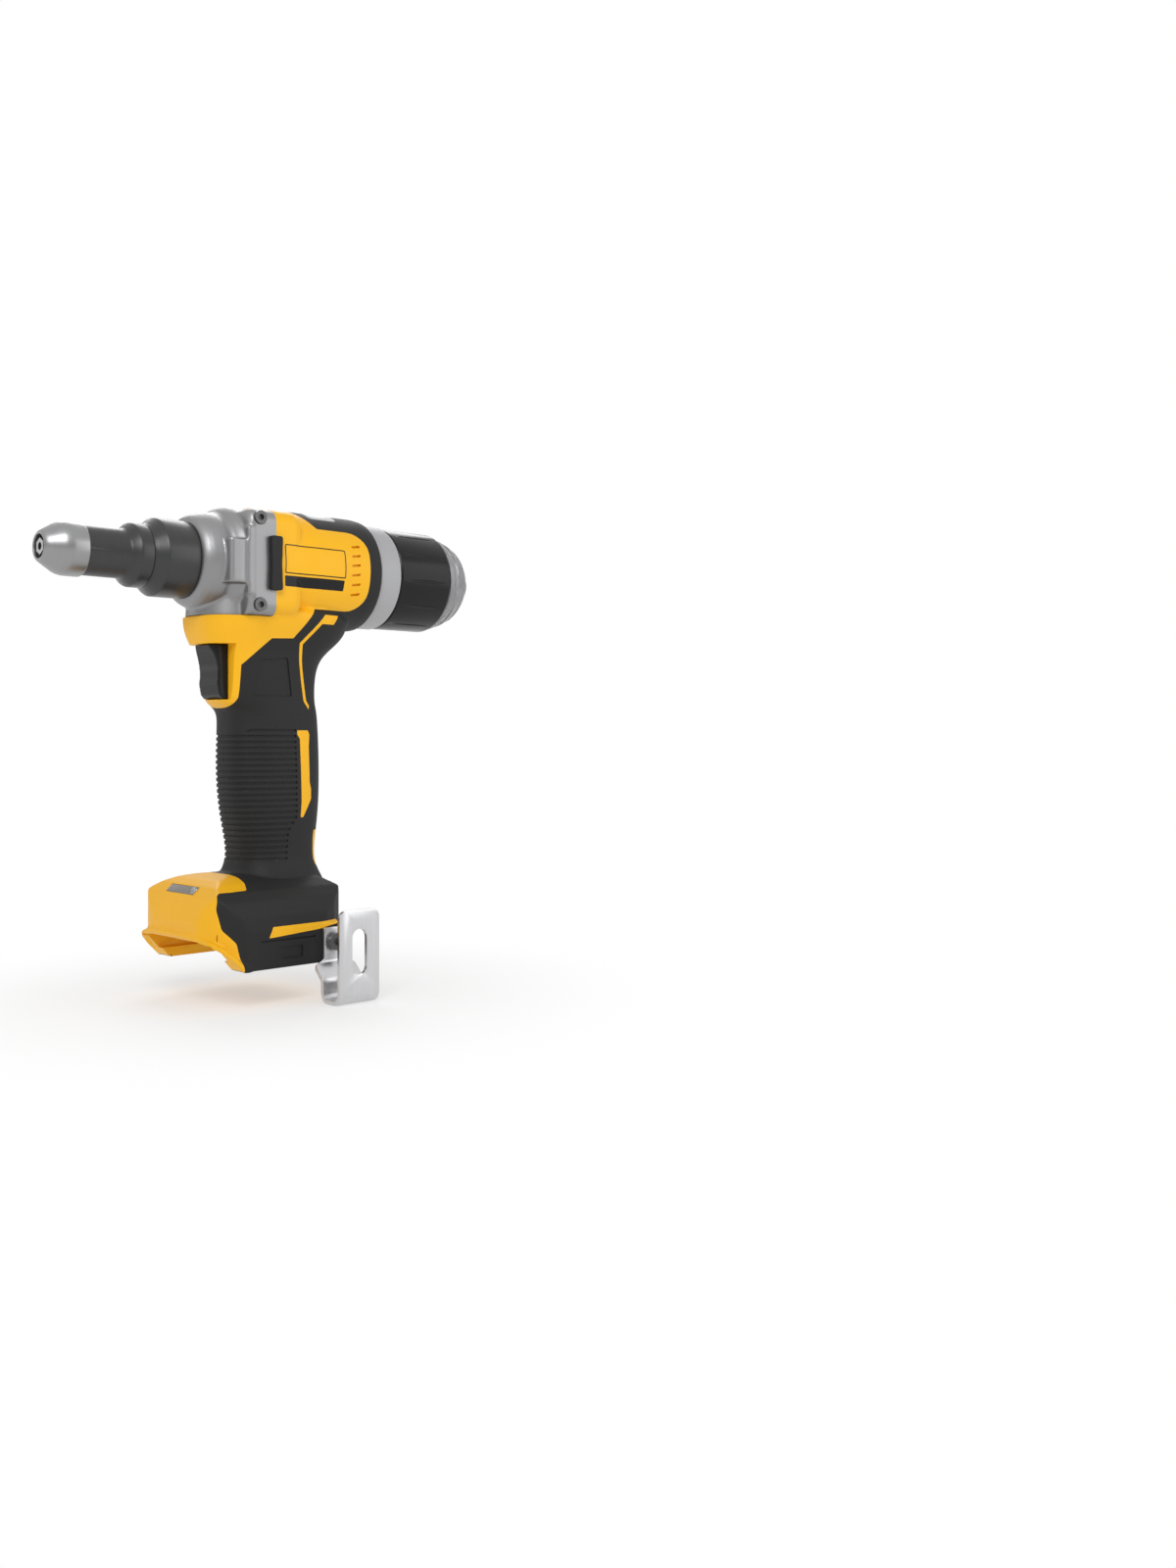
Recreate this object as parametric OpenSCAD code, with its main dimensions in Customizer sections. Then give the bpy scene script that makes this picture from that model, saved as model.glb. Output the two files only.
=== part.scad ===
// Cordless pull-rivet tool: a hollow ball-screw drive in line with the nose, a pistol handle with a trigger,
// a mandrel collector at the rear and a foot that takes a slide-on battery.
// Millimetres. Origin: centre of the nosepiece's bore at its front face.
// +X runs back along the pull axis, +Z is up, and the tool's left side is -Y.

/* [Nose] */
// Radius of the nosepiece's bore, which takes the rivet's mandrel
mandrel_bore_r = 1.7; // [1.2:0.1:2.2]
// Length of the nosepiece
nosepiece_len = 15; // [13:0.5:16]
// Corner radius of the nosepiece's hexagon head
nosepiece_head_r = 3.7; // [3:0.1:4]
// Length of the nose cap
cap_len = 18; // [16:0.5:22]
// Outer radius of the nose cap
cap_r = 11.8; // [11.4:0.1:14]
// Radius of the cap's front face
cap_face_r = 6.7; // [6.2:0.1:7.2]
// Depth of the nosepiece's face behind the cap's lip
cap_lip = 0.6; // [0.2:0.1:1.5]
// Outer radius of the nose tube
tube_r = 10.9; // [10.4:0.1:11.2]
// Length of the nose tube that shows
tube_len = 18; // [14:0.5:26]
// Length of each sloping shoulder on the nose
shoulder_len = 4; // [3:0.5:6]
// Radius of the sleeve's collar
collar_r = 14.4; // [14:0.1:15]
// Length of the sleeve's collar
collar_len = 6.2; // [5:0.2:9]
// Outer radius of the ring nut behind the collar
nose_nut_r = 17.8; // [17.4:0.1:19]
// Length of the ring nut
nose_nut_len = 20.4; // [19:0.2:24]

/* [Pull head] */
// Travel of the pull head
stroke = 20; // [14:1:22]
// Outer radius of the jaw case
jaw_case_r = 8; // [7.6:0.1:8.2]
// Length of the jaw case
jaw_case_len = 27.5; // [26:0.5:30]
// Axial travel of the jaws in the jaw case
jaw_travel = 2; // [1:0.1:2.4]
// Half angle of the jaw case's cone, in degrees
jaw_angle = 13.5; // [10:0.5:15]
// Radius of the ball screw
screw_r = 6; // [5.4:0.1:6.2]
// Radius of the bore through the screw
screw_bore_r = 3; // [2.8:0.1:3.4]
// Distance that one turn of the nut moves the screw
screw_lead = 10; // [4:1:12]
// Outer radius of the ball nut
ball_nut_r = 12; // [11:0.2:12.6]
// Length of the ball nut
ball_nut_len = 14; // [11:0.5:15]

/* [Gears and motor] */
// Tooth module of the planetary gears
gear_module = 1.1; // [1.06:0.01:1.12]
// Width of the gears
gear_w = 8; // [6:0.5:8.5]
// Length of the stator's stack
stator_len = 18; // [14:0.5:19]
// Radius of the rotor, as a share of the barrel's bore
rotor_share = 0.525; // [0.5:0.005:0.54]
// Width of the cooling fan
fan_w = 8; // [6:0.5:8.5]

/* [Gear case] */
// Radius where the case meets the ring nut
case_front_r = 19.5; // [19:0.1:20.5]
// Radius of the round boss behind it
case_boss_r = 22.6; // [22:0.1:23.6]
// Length of the round front of the case
case_nose_len = 19; // [18:0.5:20]
// Length of the square block at the rear of the case
case_block_len = 14; // [13:0.5:15]
// Half width of the block
case_half_w = 27; // [26.6:0.1:28]
// Height of the block's top over the axis
case_top = 24.4; // [24:0.1:25.6]
// Depth of the case's base under the axis
case_base = 25; // [24.6:0.1:26.4]

/* [Housing] */
// Outer radius of the motor barrel
barrel_r = 27.4; // [27:0.1:28.4]
// Length of the motor barrel
barrel_len = 60.4; // [59.5:0.1:63]
// Thickness of the barrel's wall round the motor
barrel_wall = 3.8; // [3.4:0.1:4.2]
// Thickness of the moulded wall
wall = 2.2; // [1.8:0.1:2.4]
// Thickness of the rubber over the handle
rubber_t = 1.5; // [1.2:0.1:1.7]
// Depth of the handle, front to back
handle_d = 48; // [45:0.5:52]
// Width of the handle
handle_w = 35; // [33:0.5:38]
// Distance of the handle's middle behind the nose
handle_x = 112; // [111:0.5:113]
// Height of the trigger
trigger_h = 24.2; // [22:0.2:26]
// Width of the trigger
trigger_w = 17.5; // [16:0.5:19]
// Travel of the trigger
trigger_travel = 6; // [4:0.5:6.5]

/* [Foot] */
// Depth of the foot's bottom under the axis
foot_bottom = 186; // [184:1:192]
// Width of the foot
foot_w = 77; // [75:0.5:82]
// Distance of the foot's front behind the nose
foot_front = 61.5; // [58:0.5:63]
// Distance of the foot's rear behind the nose
foot_rear = 137.5; // [136.5:0.5:140]
// Width between the battery rails
rail_gap = 56; // [52:0.5:58]
// Width of the battery receptacle over the rails
receptacle_w = 63; // [61:0.5:65]
// Depth of the battery receptacle
receptacle_h = 17; // [15.5:0.5:18]
// Height of the battery rails
rail_h = 4.5; // [3.5:0.25:5]
// Thickness of the belt hook's strip
hook_t = 2; // [1.5:0.1:2.4]
// Width of the belt hook's plate
hook_w = 22; // [20:0.5:26]
// Gap between the foot and the belt hook's plate
hook_gap = 18; // [16:0.5:22]
// Height of the belt hook's plate
hook_h = 42; // [38:0.5:46]
// Thread radius of the hook's screw holes
hook_hole_r = 2.1; // [1.7:0.1:2.4]

/* [Collector] */
// How far the grey ring lies under the barrel
ring_step = 1.4; // [0.6:0.1:2]
// Length of the grey ring
ring_len = 12.6; // [11:0.2:15]
// How far the collector cup lies under the grey ring
cup_step = 0.4; // [0.1:0.1:0.8]
// Length of the collector cup
cup_len = 33; // [28:0.5:44]
// Length of the clear window behind the cup
window_len = 18; // [14:0.5:20]

/* [Hidden] */
$fn = 72;

yellow = [0.98, 0.72, 0.12];
charcoal = [0.2, 0.2, 0.21];
black = [0.1, 0.1, 0.11];
steel = [0.62, 0.62, 0.64];
alloy = [0.68, 0.68, 0.69];
brass = [0.78, 0.62, 0.3];
copper = [0.72, 0.42, 0.22];

// Clearances
slip = 0.1;      // between pieces that slide or turn in one another
seat = 0.2;      // between pieces that are seated together
gap = 0.3;       // between moving pieces that pass one another
edge = 0.5;      // chamfers and small rounds
past = 1;        // how far a cut runs past the face it opens

// Places along the pull axis, front to rear
cap_x1 = cap_len - cap_lip;
spigot_len = 7;
spigot_r = tube_r - 1.3;
tube_x1 = cap_x1 + tube_len;
collar_x0 = tube_x1 + shoulder_len;
collar_x1 = collar_x0 + collar_len;
nut_x0 = collar_x1 + gap;
nut_x1 = nut_x0 + nose_nut_len;
case_x0 = nut_x1;
block_x0 = case_x0 + case_nose_len;
case_x1 = block_x0 + case_block_len;
barrel_x1 = case_x1 + barrel_len;
ring_x0 = barrel_x1 + gap;
ring_x1 = ring_x0 + ring_len;
cup_x0 = ring_x1 + gap;
cup_x1 = cup_x0 + cup_len;
window_x1 = cup_x1 + window_len;

// Pull head, at rest at the front of its stroke
sleeve_bore_r = jaw_case_r + slip;
jaw_case_x0 = nosepiece_len + 1.5;
jaw_case_x1 = jaw_case_x0 + jaw_case_len;
cone_x0 = jaw_case_x0 + 1.5;
cone_r0 = 3.6;
cone_len = 11;
cone_r1 = cone_r0 + cone_len * tan(jaw_angle);
jaw_len = cone_len - jaw_travel - 0.4;
jaw_x0 = cone_x0 + 0.2;
jaw_x1 = jaw_x0 + jaw_len + jaw_travel;
pusher_len = 3.5;
pusher_x0 = jaw_x1 + seat;
pusher_x1 = pusher_x0 + pusher_len;
adapter_spigot = 2.5;
adapter_x0 = jaw_case_x1 - adapter_spigot;
adapter_flange = 4;
screw_x0 = jaw_case_x1 + adapter_flange;
key_w = 3;
key_r = jaw_case_r + 1.6;
ball_nut_x0 = screw_x0 + stroke + 1.5;
ball_nut_x1 = ball_nut_x0 + ball_nut_len;
screw_x1 = ball_nut_x1 + edge;
nut_flange_r = ball_nut_r + 2;
nut_flange_w = 2.6;
bearing_w = 4;
thrust_x1 = ball_nut_x0 - slip;
thrust_x0 = thrust_x1 - bearing_w;
thrust_r0 = key_r + 0.4;
sleeve_x1 = thrust_x0;
sleeve_rear_r = nut_flange_r - 0.5;
sleeve_flange_x = nut_x0 + 4.6;
sleeve_flange_w = 3.6;
sleeve_flange_r = sleeve_rear_r + 1.9;
neck_x0 = sleeve_flange_x + sleeve_flange_w + seat;
neck_r = sleeve_flange_r + 0.2;

// Planetary gears
sun_teeth = 20;
planet_teeth = 10;
ring_teeth = sun_teeth + 2 * planet_teeth;
planet_count = 3;
planet_first = 90;
sun_pr = gear_module * sun_teeth / 2;
planet_pr = gear_module * planet_teeth / 2;
ring_pr = gear_module * ring_teeth / 2;
planet_orbit = sun_pr + planet_pr;
addendum = 0.85 * gear_module;
dedendum = 1.15 * gear_module;
planet_pin_r = 2;
carrier_t = 3;
carrier_r = planet_orbit + planet_pin_r + 1.3;
carrier_x0 = ball_nut_x1;
carrier_x1 = carrier_x0 + carrier_t;
gear_x0 = max(carrier_x1 + 2, block_x0 + 4);
gear_x1 = gear_x0 + gear_w;
ring_gear_r = ring_pr + dedendum + 0.9;
ring_gear_x0 = gear_x0 - edge;
ring_gear_x1 = gear_x1 + edge;

// Motor
shaft_r = 9;
shaft_front_r = 8;
shaft_mid_r = 7;
shaft_rear_r = 5;
shaft_bore_r = screw_r + 0.6;
barrel_bore_r = barrel_r - barrel_wall;
stator_r = barrel_bore_r - seat;
fan_r = barrel_bore_r - 1.6;
plate_x0 = ring_gear_x1 + seat;
plate_t = 7;
plate_x1 = plate_x0 + plate_t;
plate_r = ring_gear_r;
front_bearing_r = 14.5;
front_bearing_x0 = plate_x0 + 1.8;
front_bearing_x1 = plate_x1;
shaft_wide_x1 = max(screw_x1 + stroke + 1.5, plate_x1 + 0.6);
coil_over = 2.4;
stator_x0 = shaft_wide_x1 + coil_over + 0.8;
stator_x1 = stator_x0 + stator_len;
stator_teeth = 9;
rotor_r = rotor_share * barrel_bore_r;
stator_bore_r = rotor_r + 0.6;
board_x0 = stator_x1 + coil_over + gap;
board_t = 1.6;
rear_plate_x0 = barrel_x1 - 11.4;
rear_bearing_w = 4.5;
rear_bearing_r = 9.5;
fan_x1 = rear_plate_x0 - 2;
fan_x0 = fan_x1 - fan_w;
shaft_x1 = rear_plate_x0 + rear_bearing_w + edge;
tube_bore_r = screw_bore_r - 0.75;
tube_outer_r = screw_bore_r - 0.35;
tube_x0 = ball_nut_x0 + 2;
mandrel_tube_x1 = barrel_x1 + 8;

// Collector
ring_r = barrel_r - ring_step;
cup_r = ring_r - cup_step;
spigot_out_r = barrel_bore_r - 2.8;
spigot_t = 2.6;
collar_depth = 4.8;
rear_spigot_x1 = ring_x1 - 2.4;
cup_neck_r = ring_r - 2;
cup_wall = 2.2;
window_t = 1.8;

// Handle, trigger and foot
barrel_axis_drop = case_base + gap;
trigger_top = barrel_axis_drop + 13;
trigger_bottom = trigger_top + trigger_h;
trigger_frame_x = handle_x - 29;
trigger_front_x = trigger_frame_x - 6.5;
trigger_flange_x0 = trigger_frame_x + wall + 0.6;
trigger_x1 = trigger_flange_x0 + 5;
trigger_flange_hw = trigger_w / 2 + 1.2;
switch_x0 = trigger_x1 + trigger_travel + 1.4;
switch_x1 = handle_x + 8;
switch_h = 27;
switch_z1 = -trigger_top + 2;
switch_z0 = switch_z1 - switch_h;
switch_w = 20;
trigger_spring_z = (switch_z0 + switch_z1) / 2;
trigger_spring_r = 4;
trigger_pocket = trigger_travel + 3;
half_handle = handle_w / 2;
handle_front = handle_x - handle_d / 2;
handle_rear = handle_x + handle_d / 2;
foot_hw = foot_w / 2;
foot_turn = 24;
foot_h = 41;
foot_top = foot_bottom - foot_h;
ceiling_z = -foot_bottom + receptacle_h;
receptacle_x1 = handle_x + 6;
brow_z = -foot_bottom + 12;
brow_t = 3.4;
module_t = 9;
module_z0 = ceiling_z + 4;
module_x0 = handle_x - 26;
module_x1 = handle_x + 20;
module_hw = 25;
hook_x = handle_x + 10;
hook_hole_z = -foot_bottom + 9.6;
hook_tab_w = 11;
hook_drop = 9;
hook_corner = 3;
hook_y0 = -foot_hw;
hook_bend_z = -foot_bottom - 5;
hook_top_z = hook_bend_z - hook_drop - hook_t + hook_h;
insert_len = 8;
insert_r = 3.4;

// Clamshell screws: place in the side view, height of the head's seat, length of the bosses each side
screw_head_r = 3;
screw_head_h = 2.4;
screw_shank_r = 1.5;
boss_r = 3.4;
shell_screws = [
    [handle_x - 12, -trigger_bottom - 9.5, half_handle - 6],
    [handle_x - 2, -foot_top + 8, half_handle - 6],
    [handle_x - 34, -barrel_axis_drop - 6.4, half_handle - 7],
    [handle_x + 19.5, ceiling_z - 2, foot_hw - 14]
];

// Rings of the handle's loft, from top to bottom: height, front, rear, half width
handle_rings = [
    [-case_base + 8, handle_front - 17, handle_rear + 14, half_handle + 6.5],
    [-barrel_axis_drop - 1.5, handle_front - 18, handle_rear + 14.5, half_handle + 5.5],
    [-barrel_axis_drop - 8, handle_front - 17, handle_rear + 12, half_handle + 2.5],
    [-trigger_top, handle_front - 15, handle_rear + 6, half_handle + 0.5],
    [-trigger_top - 6, handle_front - 12.5, handle_rear + 0.5, half_handle - 0.5],
    [-trigger_top - 16, handle_front - 11.5, handle_rear - 1.8, half_handle - 0.5],
    [-trigger_bottom - 0.6, handle_front - 10.5, handle_rear - 1.8, half_handle - 0.5],
    [-trigger_bottom - 3.2, handle_front - 5, handle_rear - 1.4, half_handle - 0.4],
    [-trigger_bottom - 6.5, handle_front + 0.5, handle_rear - 0.8, half_handle - 0.2],
    [-trigger_bottom - 19, handle_front, handle_rear, half_handle],
    [-trigger_bottom - 37, handle_front + 0.8, handle_rear + 0.4, half_handle + 0.4],
    [-foot_top + 28, handle_front + 3, handle_rear, half_handle],
    [-foot_top + 12, handle_front + 5.5, handle_rear - 2.7, half_handle - 0.6],
    [-foot_top + 3, handle_front + 4.5, handle_rear - 3.2, half_handle + 0.5],
    [-foot_top - 4, handle_front + 1, handle_rear + 0.5, half_handle + 5],
    [-foot_top - 9, handle_front - 1, handle_rear + 1, half_handle + 8]
];
loft_sides = 24;
loft_power = 2.7;

// Points along an arc about a centre
function arc(cx, cy, r, a0, a1, n = 5) =
    [for (i = [0:n]) let (a = a0 + (a1 - a0) * i / n) [cx + r * cos(a), cy + r * sin(a)]];

// A number raised to a power with its sign kept
function keep_sign(v, p) = sign(v) * pow(abs(v), p);

// One ring of the handle, drawn in by d
function loft_ring(ring, d) =
    let (cx = (ring[1] + ring[2]) / 2, a = (ring[2] - ring[1]) / 2 - d, b = ring[3] - d)
    [for (i = [0:loft_sides - 1]) let (t = 360 * (i + 0.5) / loft_sides)
        [cx + a * keep_sign(cos(t), 2 / loft_power), b * keep_sign(sin(t), 2 / loft_power), ring[0]]];

// Triangles between the rings of a tube of n-sided rings, with both ends closed
function tube_faces(rings, n) = concat(
    [for (j = [0:rings - 2], i = [0:n - 1]) [j * n + i, j * n + (i + 1) % n, (j + 1) * n + i]],
    [for (j = [0:rings - 2], i = [0:n - 1])
        [j * n + (i + 1) % n, (j + 1) * n + (i + 1) % n, (j + 1) * n + i]],
    [[for (i = [n - 1:-1:0]) i]],
    [[for (i = [0:n - 1]) (rings - 1) * n + i]]
);

// A solid turned about the pull axis from points of radius and distance
module turned(profile) {
    rotate([0, 90, 0])
        rotate_extrude()
            polygon(profile);
}

// A cylinder along the pull axis
module rod(x0, x1, r) {
    translate([x0, 0, 0])
        rotate([0, 90, 0])
            cylinder(h = x1 - x0, r = r);
}

// A tube along the pull axis
module pipe(x0, x1, r1, r0) {
    difference() {
        rod(x0, x1, r1);
        rod(x0 - past, x1 + past, r0);
    }
}

// A flat shape in Y and Z, drawn out along the pull axis
module along_x(x0, x1) {
    translate([x0, 0, 0])
        rotate([90, 0, 90])
            linear_extrude(x1 - x0)
                children();
}

// A flat shape in X and Z, drawn out across the tool
module across(w) {
    rotate([90, 0, 0])
        linear_extrude(w, center = true)
            children();
}

// A box from its low corner to its high corner
module block(low, high) {
    translate(low)
        cube(high - low);
}

// A round post across the tool, from y0 to y1
module post(x, z, y0, y1, r) {
    translate([x, y1, z])
        rotate([90, 0, 0])
            cylinder(h = y1 - y0, r = r);
}

// A rectangle with round corners about the middle
module round_rect(w, h, r) {
    union() {
        square([w - 2 * r, h], center = true);
        square([w, h - 2 * r], center = true);
        for (i = [-1, 1], j = [-1, 1])
            translate([i * (w / 2 - r), j * (h / 2 - r)])
                circle(r);
    }
}

// One of the tool's two sides
module side_of(s) {
    block([-foot_w, s > 0 ? 0 : -foot_w, -2 * foot_bottom], [2 * foot_rear, s > 0 ? foot_w : 0, foot_bottom]);
}

// A wire coil along the pull axis
module coil(x0, x1, r, wire_r, turns) {
    steps = turns * 12;
    sides = 6;
    run = x1 - x0 - 2 * wire_r;
    points = [
        for (i = [0:steps], k = [0:sides - 1])
            let (t = 360 * turns * i / steps, u = 360 * k / sides, q = r + wire_r * cos(u))
            [x0 + wire_r + run * i / steps + wire_r * sin(u), q * cos(t), q * sin(t)]
    ];
    polyhedron(points, tube_faces(steps + 1, sides));
}

// A wire swept along points in a plane across the tool, at side place y
module wire(points, y, r) {
    sides = 8;
    n = len(points);
    rings = [
        for (i = [0:n - 1])
            let (a = points[max(i - 1, 0)], b = points[min(i + 1, n - 1)], d = (b - a) / norm(b - a))
            for (k = [0:sides - 1])
                let (u = 360 * k / sides)
                [points[i][0] - d[1] * r * cos(u), y + r * sin(u), points[i][1] + d[0] * r * cos(u)]
    ];
    polyhedron(rings, tube_faces(n, sides));
}

// A gear's outline: teeth with sloping flanks and some backlash
module gear_outline(teeth, tip, root, phase, tip_half = 0.11, root_half = 0.3) {
    pitch = 360 / teeth;
    polygon([
        for (i = [0:teeth - 1])
            let (a = phase + i * pitch)
            for (p = [[root, -root_half], [tip, -tip_half], [tip, tip_half], [root, root_half]])
                [p[0] * cos(a + p[1] * pitch), p[0] * sin(a + p[1] * pitch)]
    ]);
}

// Direction of a planet about the axis, and the turn that sets its teeth between the sun's
function planet_angle(k) = planet_first + 360 * (k - 1) / planet_count;
function planet_phase(k) =
    planet_angle(k) * (1 + sun_teeth / planet_teeth) + 180 - 180 / planet_teeth;
ring_phase = planet_angle(1)
    - ((planet_angle(1) - planet_phase(1)) * planet_teeth - 180) / ring_teeth;

// Nose

module nose_cap() {
    mouth_r = nosepiece_head_r + 1.3;
    shank_r = nosepiece_head_r + 0.3 + slip;
    head_x1 = 3;
    cone_x1 = 9.5;
    color(steel)
        turned(concat(
            [[mouth_r, -cap_lip]],
            arc(cap_face_r - 0.6, -cap_lip + 0.6, 0.6, -90, -30, 3),
            arc(cap_r - 2.5, cone_x1 + 0.6, 2.5, -42, 0, 4),
            arc(cap_r - edge, cap_x1 - edge, edge, 0, 90, 3),
            [
                [spigot_r + slip, cap_x1],
                [spigot_r + slip, cap_x1 - spigot_len - seat],
                [shank_r, cap_x1 - spigot_len - seat],
                [shank_r, head_x1],
                [mouth_r, head_x1]
            ]
        ));
}

module nose_piece() {
    head_x1 = 3 - seat;
    tail_len = 3;
    color(steel)
        difference() {
            union() {
                rotate([0, 90, 0])
                    cylinder(h = head_x1 + edge, r = nosepiece_head_r, $fn = 6);
                rod(head_x1 + seat, nosepiece_len - tail_len, nosepiece_head_r + 0.3);
                turned([
                    [0, nosepiece_len - tail_len - edge],
                    [3.1, nosepiece_len - tail_len - edge],
                    [3.1, nosepiece_len - tail_len],
                    [2.6, nosepiece_len],
                    [0, nosepiece_len]
                ]);
            }
            rod(-past, nosepiece_len + past, mandrel_bore_r);
        }
}

module nose_sleeve() {
    color(black)
        difference() {
            turned(concat(
                [[sleeve_bore_r, cap_x1 - spigot_len], [spigot_r, cap_x1 - spigot_len], [spigot_r, cap_x1]],
                [[tube_r, cap_x1]],
                arc(tube_r + 2.5, tube_x1, 2.5, 180, 135, 3),
                arc(collar_r - 1.4, collar_x0 + 0.4, 1.4, -50, 0, 4),
                arc(collar_r - 0.8, collar_x1 - 0.8, 0.8, 0, 90, 3),
                [
                    [sleeve_rear_r, collar_x1],
                    [sleeve_rear_r, sleeve_flange_x],
                    [sleeve_flange_r, sleeve_flange_x],
                    [sleeve_flange_r, sleeve_flange_x + sleeve_flange_w],
                    [sleeve_rear_r, sleeve_flange_x + sleeve_flange_w],
                    [sleeve_rear_r, sleeve_x1],
                    [sleeve_bore_r, sleeve_x1]
                ]
            ));
            block([jaw_case_x1 - adapter_flange, -key_r - gap, -key_w / 2 - slip],
                [sleeve_x1 + past, key_r + gap, key_w / 2 + slip]);
        }
}

module nose_nut() {
    bore_r = neck_r + slip;
    color(black)
        turned(concat(
            [[sleeve_rear_r + slip, nut_x0], [collar_r - 0.3, nut_x0]],
            arc(collar_r + 2, nut_x0 + 0.9, 2, 180, 135, 3),
            arc(nose_nut_r - 1.6, nut_x0 + shoulder_len + 0.8, 1.6, -50, 0, 4),
            arc(nose_nut_r - 1, nut_x1 - 1, 1, 0, 90, 3),
            [
                [bore_r, nut_x1],
                [bore_r, sleeve_flange_x - seat],
                [sleeve_rear_r + slip, sleeve_flange_x - seat]
            ]
        ));
}

// Pull head

module jaw_case() {
    color(steel)
        turned([
            [cone_r0, jaw_case_x0],
            [jaw_case_r - 1.5, jaw_case_x0],
            [jaw_case_r, jaw_case_x0 + 1.5],
            [jaw_case_r, jaw_case_x1],
            [cone_r1 - 0.1, jaw_case_x1],
            [cone_r1 - 0.1, jaw_case_x1 - adapter_spigot - seat],
            [cone_r1, jaw_case_x1 - adapter_spigot - seat],
            [cone_r1, cone_x0 + cone_len],
            [cone_r0, cone_x0]
        ]);
}

// One jaw, drawn closed and then moved back and out to where it rests
module jaw(k) {
    grip_r = mandrel_bore_r - 0.15;
    side_gap = 0.25;
    out = jaw_travel * tan(jaw_angle);
    r0 = cone_r0 + (jaw_x0 - cone_x0) * tan(jaw_angle) - slip;
    r1 = r0 + jaw_len * tan(jaw_angle);
    reach = 3 * cone_r1;
    color(alloy)
        rotate([120 * (k - 1), 0, 0])
            translate([jaw_travel, 0, out])
                intersection() {
                    difference() {
                        translate([jaw_x0, 0, 0])
                            rotate([0, 90, 0])
                                cylinder(h = jaw_len, r1 = r0, r2 = r1);
                        rod(jaw_x0 - past, jaw_x0 + jaw_len + past, grip_r);
                    }
                    along_x(jaw_x0 - past, jaw_x0 + jaw_len + past)
                        polygon([
                            [0, 2 * side_gap],
                            [reach * sin(60), 2 * side_gap + reach * cos(60)],
                            [-reach * sin(60), 2 * side_gap + reach * cos(60)]
                        ]);
                }
}

module jaw_1() {
    jaw(1);
}

module jaw_2() {
    jaw(2);
}

module jaw_3() {
    jaw(3);
}

module jaw_pusher() {
    front_r = cone_r1 - 2 * slip - jaw_travel * tan(jaw_angle);
    color(steel)
        turned([
            [mandrel_bore_r + 0.6, pusher_x0],
            [front_r, pusher_x0],
            [cone_r1 - 2 * slip, pusher_x0 + jaw_travel],
            [cone_r1 - 2 * slip, pusher_x1],
            [screw_bore_r + 0.7, pusher_x1],
            [screw_bore_r + 0.7, pusher_x1 + 4],
            [mandrel_bore_r + 0.6, pusher_x1 + 4]
        ]);
}

module jaw_spring() {
    wire_r = 0.55;
    color(steel)
        coil(pusher_x1 + gap, adapter_x0 - gap, (cone_r1 + screw_bore_r + 0.7) / 2, wire_r, 4);
}

module pull_adapter() {
    color(steel)
        union() {
            turned([
                [screw_bore_r, adapter_x0],
                [cone_r1 - 0.2, adapter_x0],
                [cone_r1 - 0.2, jaw_case_x1],
                [jaw_case_r, jaw_case_x1],
                [jaw_case_r, screw_x0],
                [screw_bore_r, screw_x0]
            ]);
            difference() {
                block([jaw_case_x1, -key_r, -key_w / 2], [jaw_case_x1 + adapter_flange, key_r, key_w / 2]);
                rod(jaw_case_x1 - past, screw_x0 + past, jaw_case_r - edge);
            }
        }
}

module ball_screw() {
    groove = 0.5;
    groove_w = 1.6;
    pitch = screw_lead / 2;
    first = screw_x0 + 3;
    count = floor((screw_x1 - first - groove_w) / pitch);
    color(steel)
        turned(concat(
            [[screw_bore_r, screw_x0], [screw_r, screw_x0]],
            [for (i = [0:count]) each let (x = first + i * pitch) [
                [screw_r, x], [screw_r - groove, x + groove_w / 2], [screw_r, x + groove_w]
            ]],
            [[screw_r, screw_x1], [screw_bore_r, screw_x1]]
        ));
}

module ball_nut() {
    color(alloy)
        turned([
            [screw_r + slip, ball_nut_x0],
            [nut_flange_r, ball_nut_x0],
            [nut_flange_r, ball_nut_x0 + nut_flange_w],
            [ball_nut_r, ball_nut_x0 + nut_flange_w],
            [ball_nut_r, ball_nut_x1],
            [screw_r + slip, ball_nut_x1]
        ]);
}

module thrust_bearing() {
    race = 1.3;
    mid = (thrust_r0 + nut_flange_r) / 2;
    cage_r = 0.7;
    color(steel)
        turned([
            [thrust_r0, thrust_x0],
            [nut_flange_r, thrust_x0],
            [nut_flange_r, thrust_x0 + race],
            [mid + cage_r, thrust_x0 + race],
            [mid + cage_r, thrust_x1 - race],
            [nut_flange_r, thrust_x1 - race],
            [nut_flange_r, thrust_x1],
            [thrust_r0, thrust_x1],
            [thrust_r0, thrust_x1 - race],
            [mid - cage_r, thrust_x1 - race],
            [mid - cage_r, thrust_x0 + race],
            [thrust_r0, thrust_x0 + race]
        ]);
}

// Gear case

case_screw_x = block_x0 + 5.6;
case_screw_z = [case_top - 4.9, -case_base + 4.5];
case_screw_r = 1.6;
case_screw_depth = 9;
case_screw_head_r = 3.1;

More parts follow.
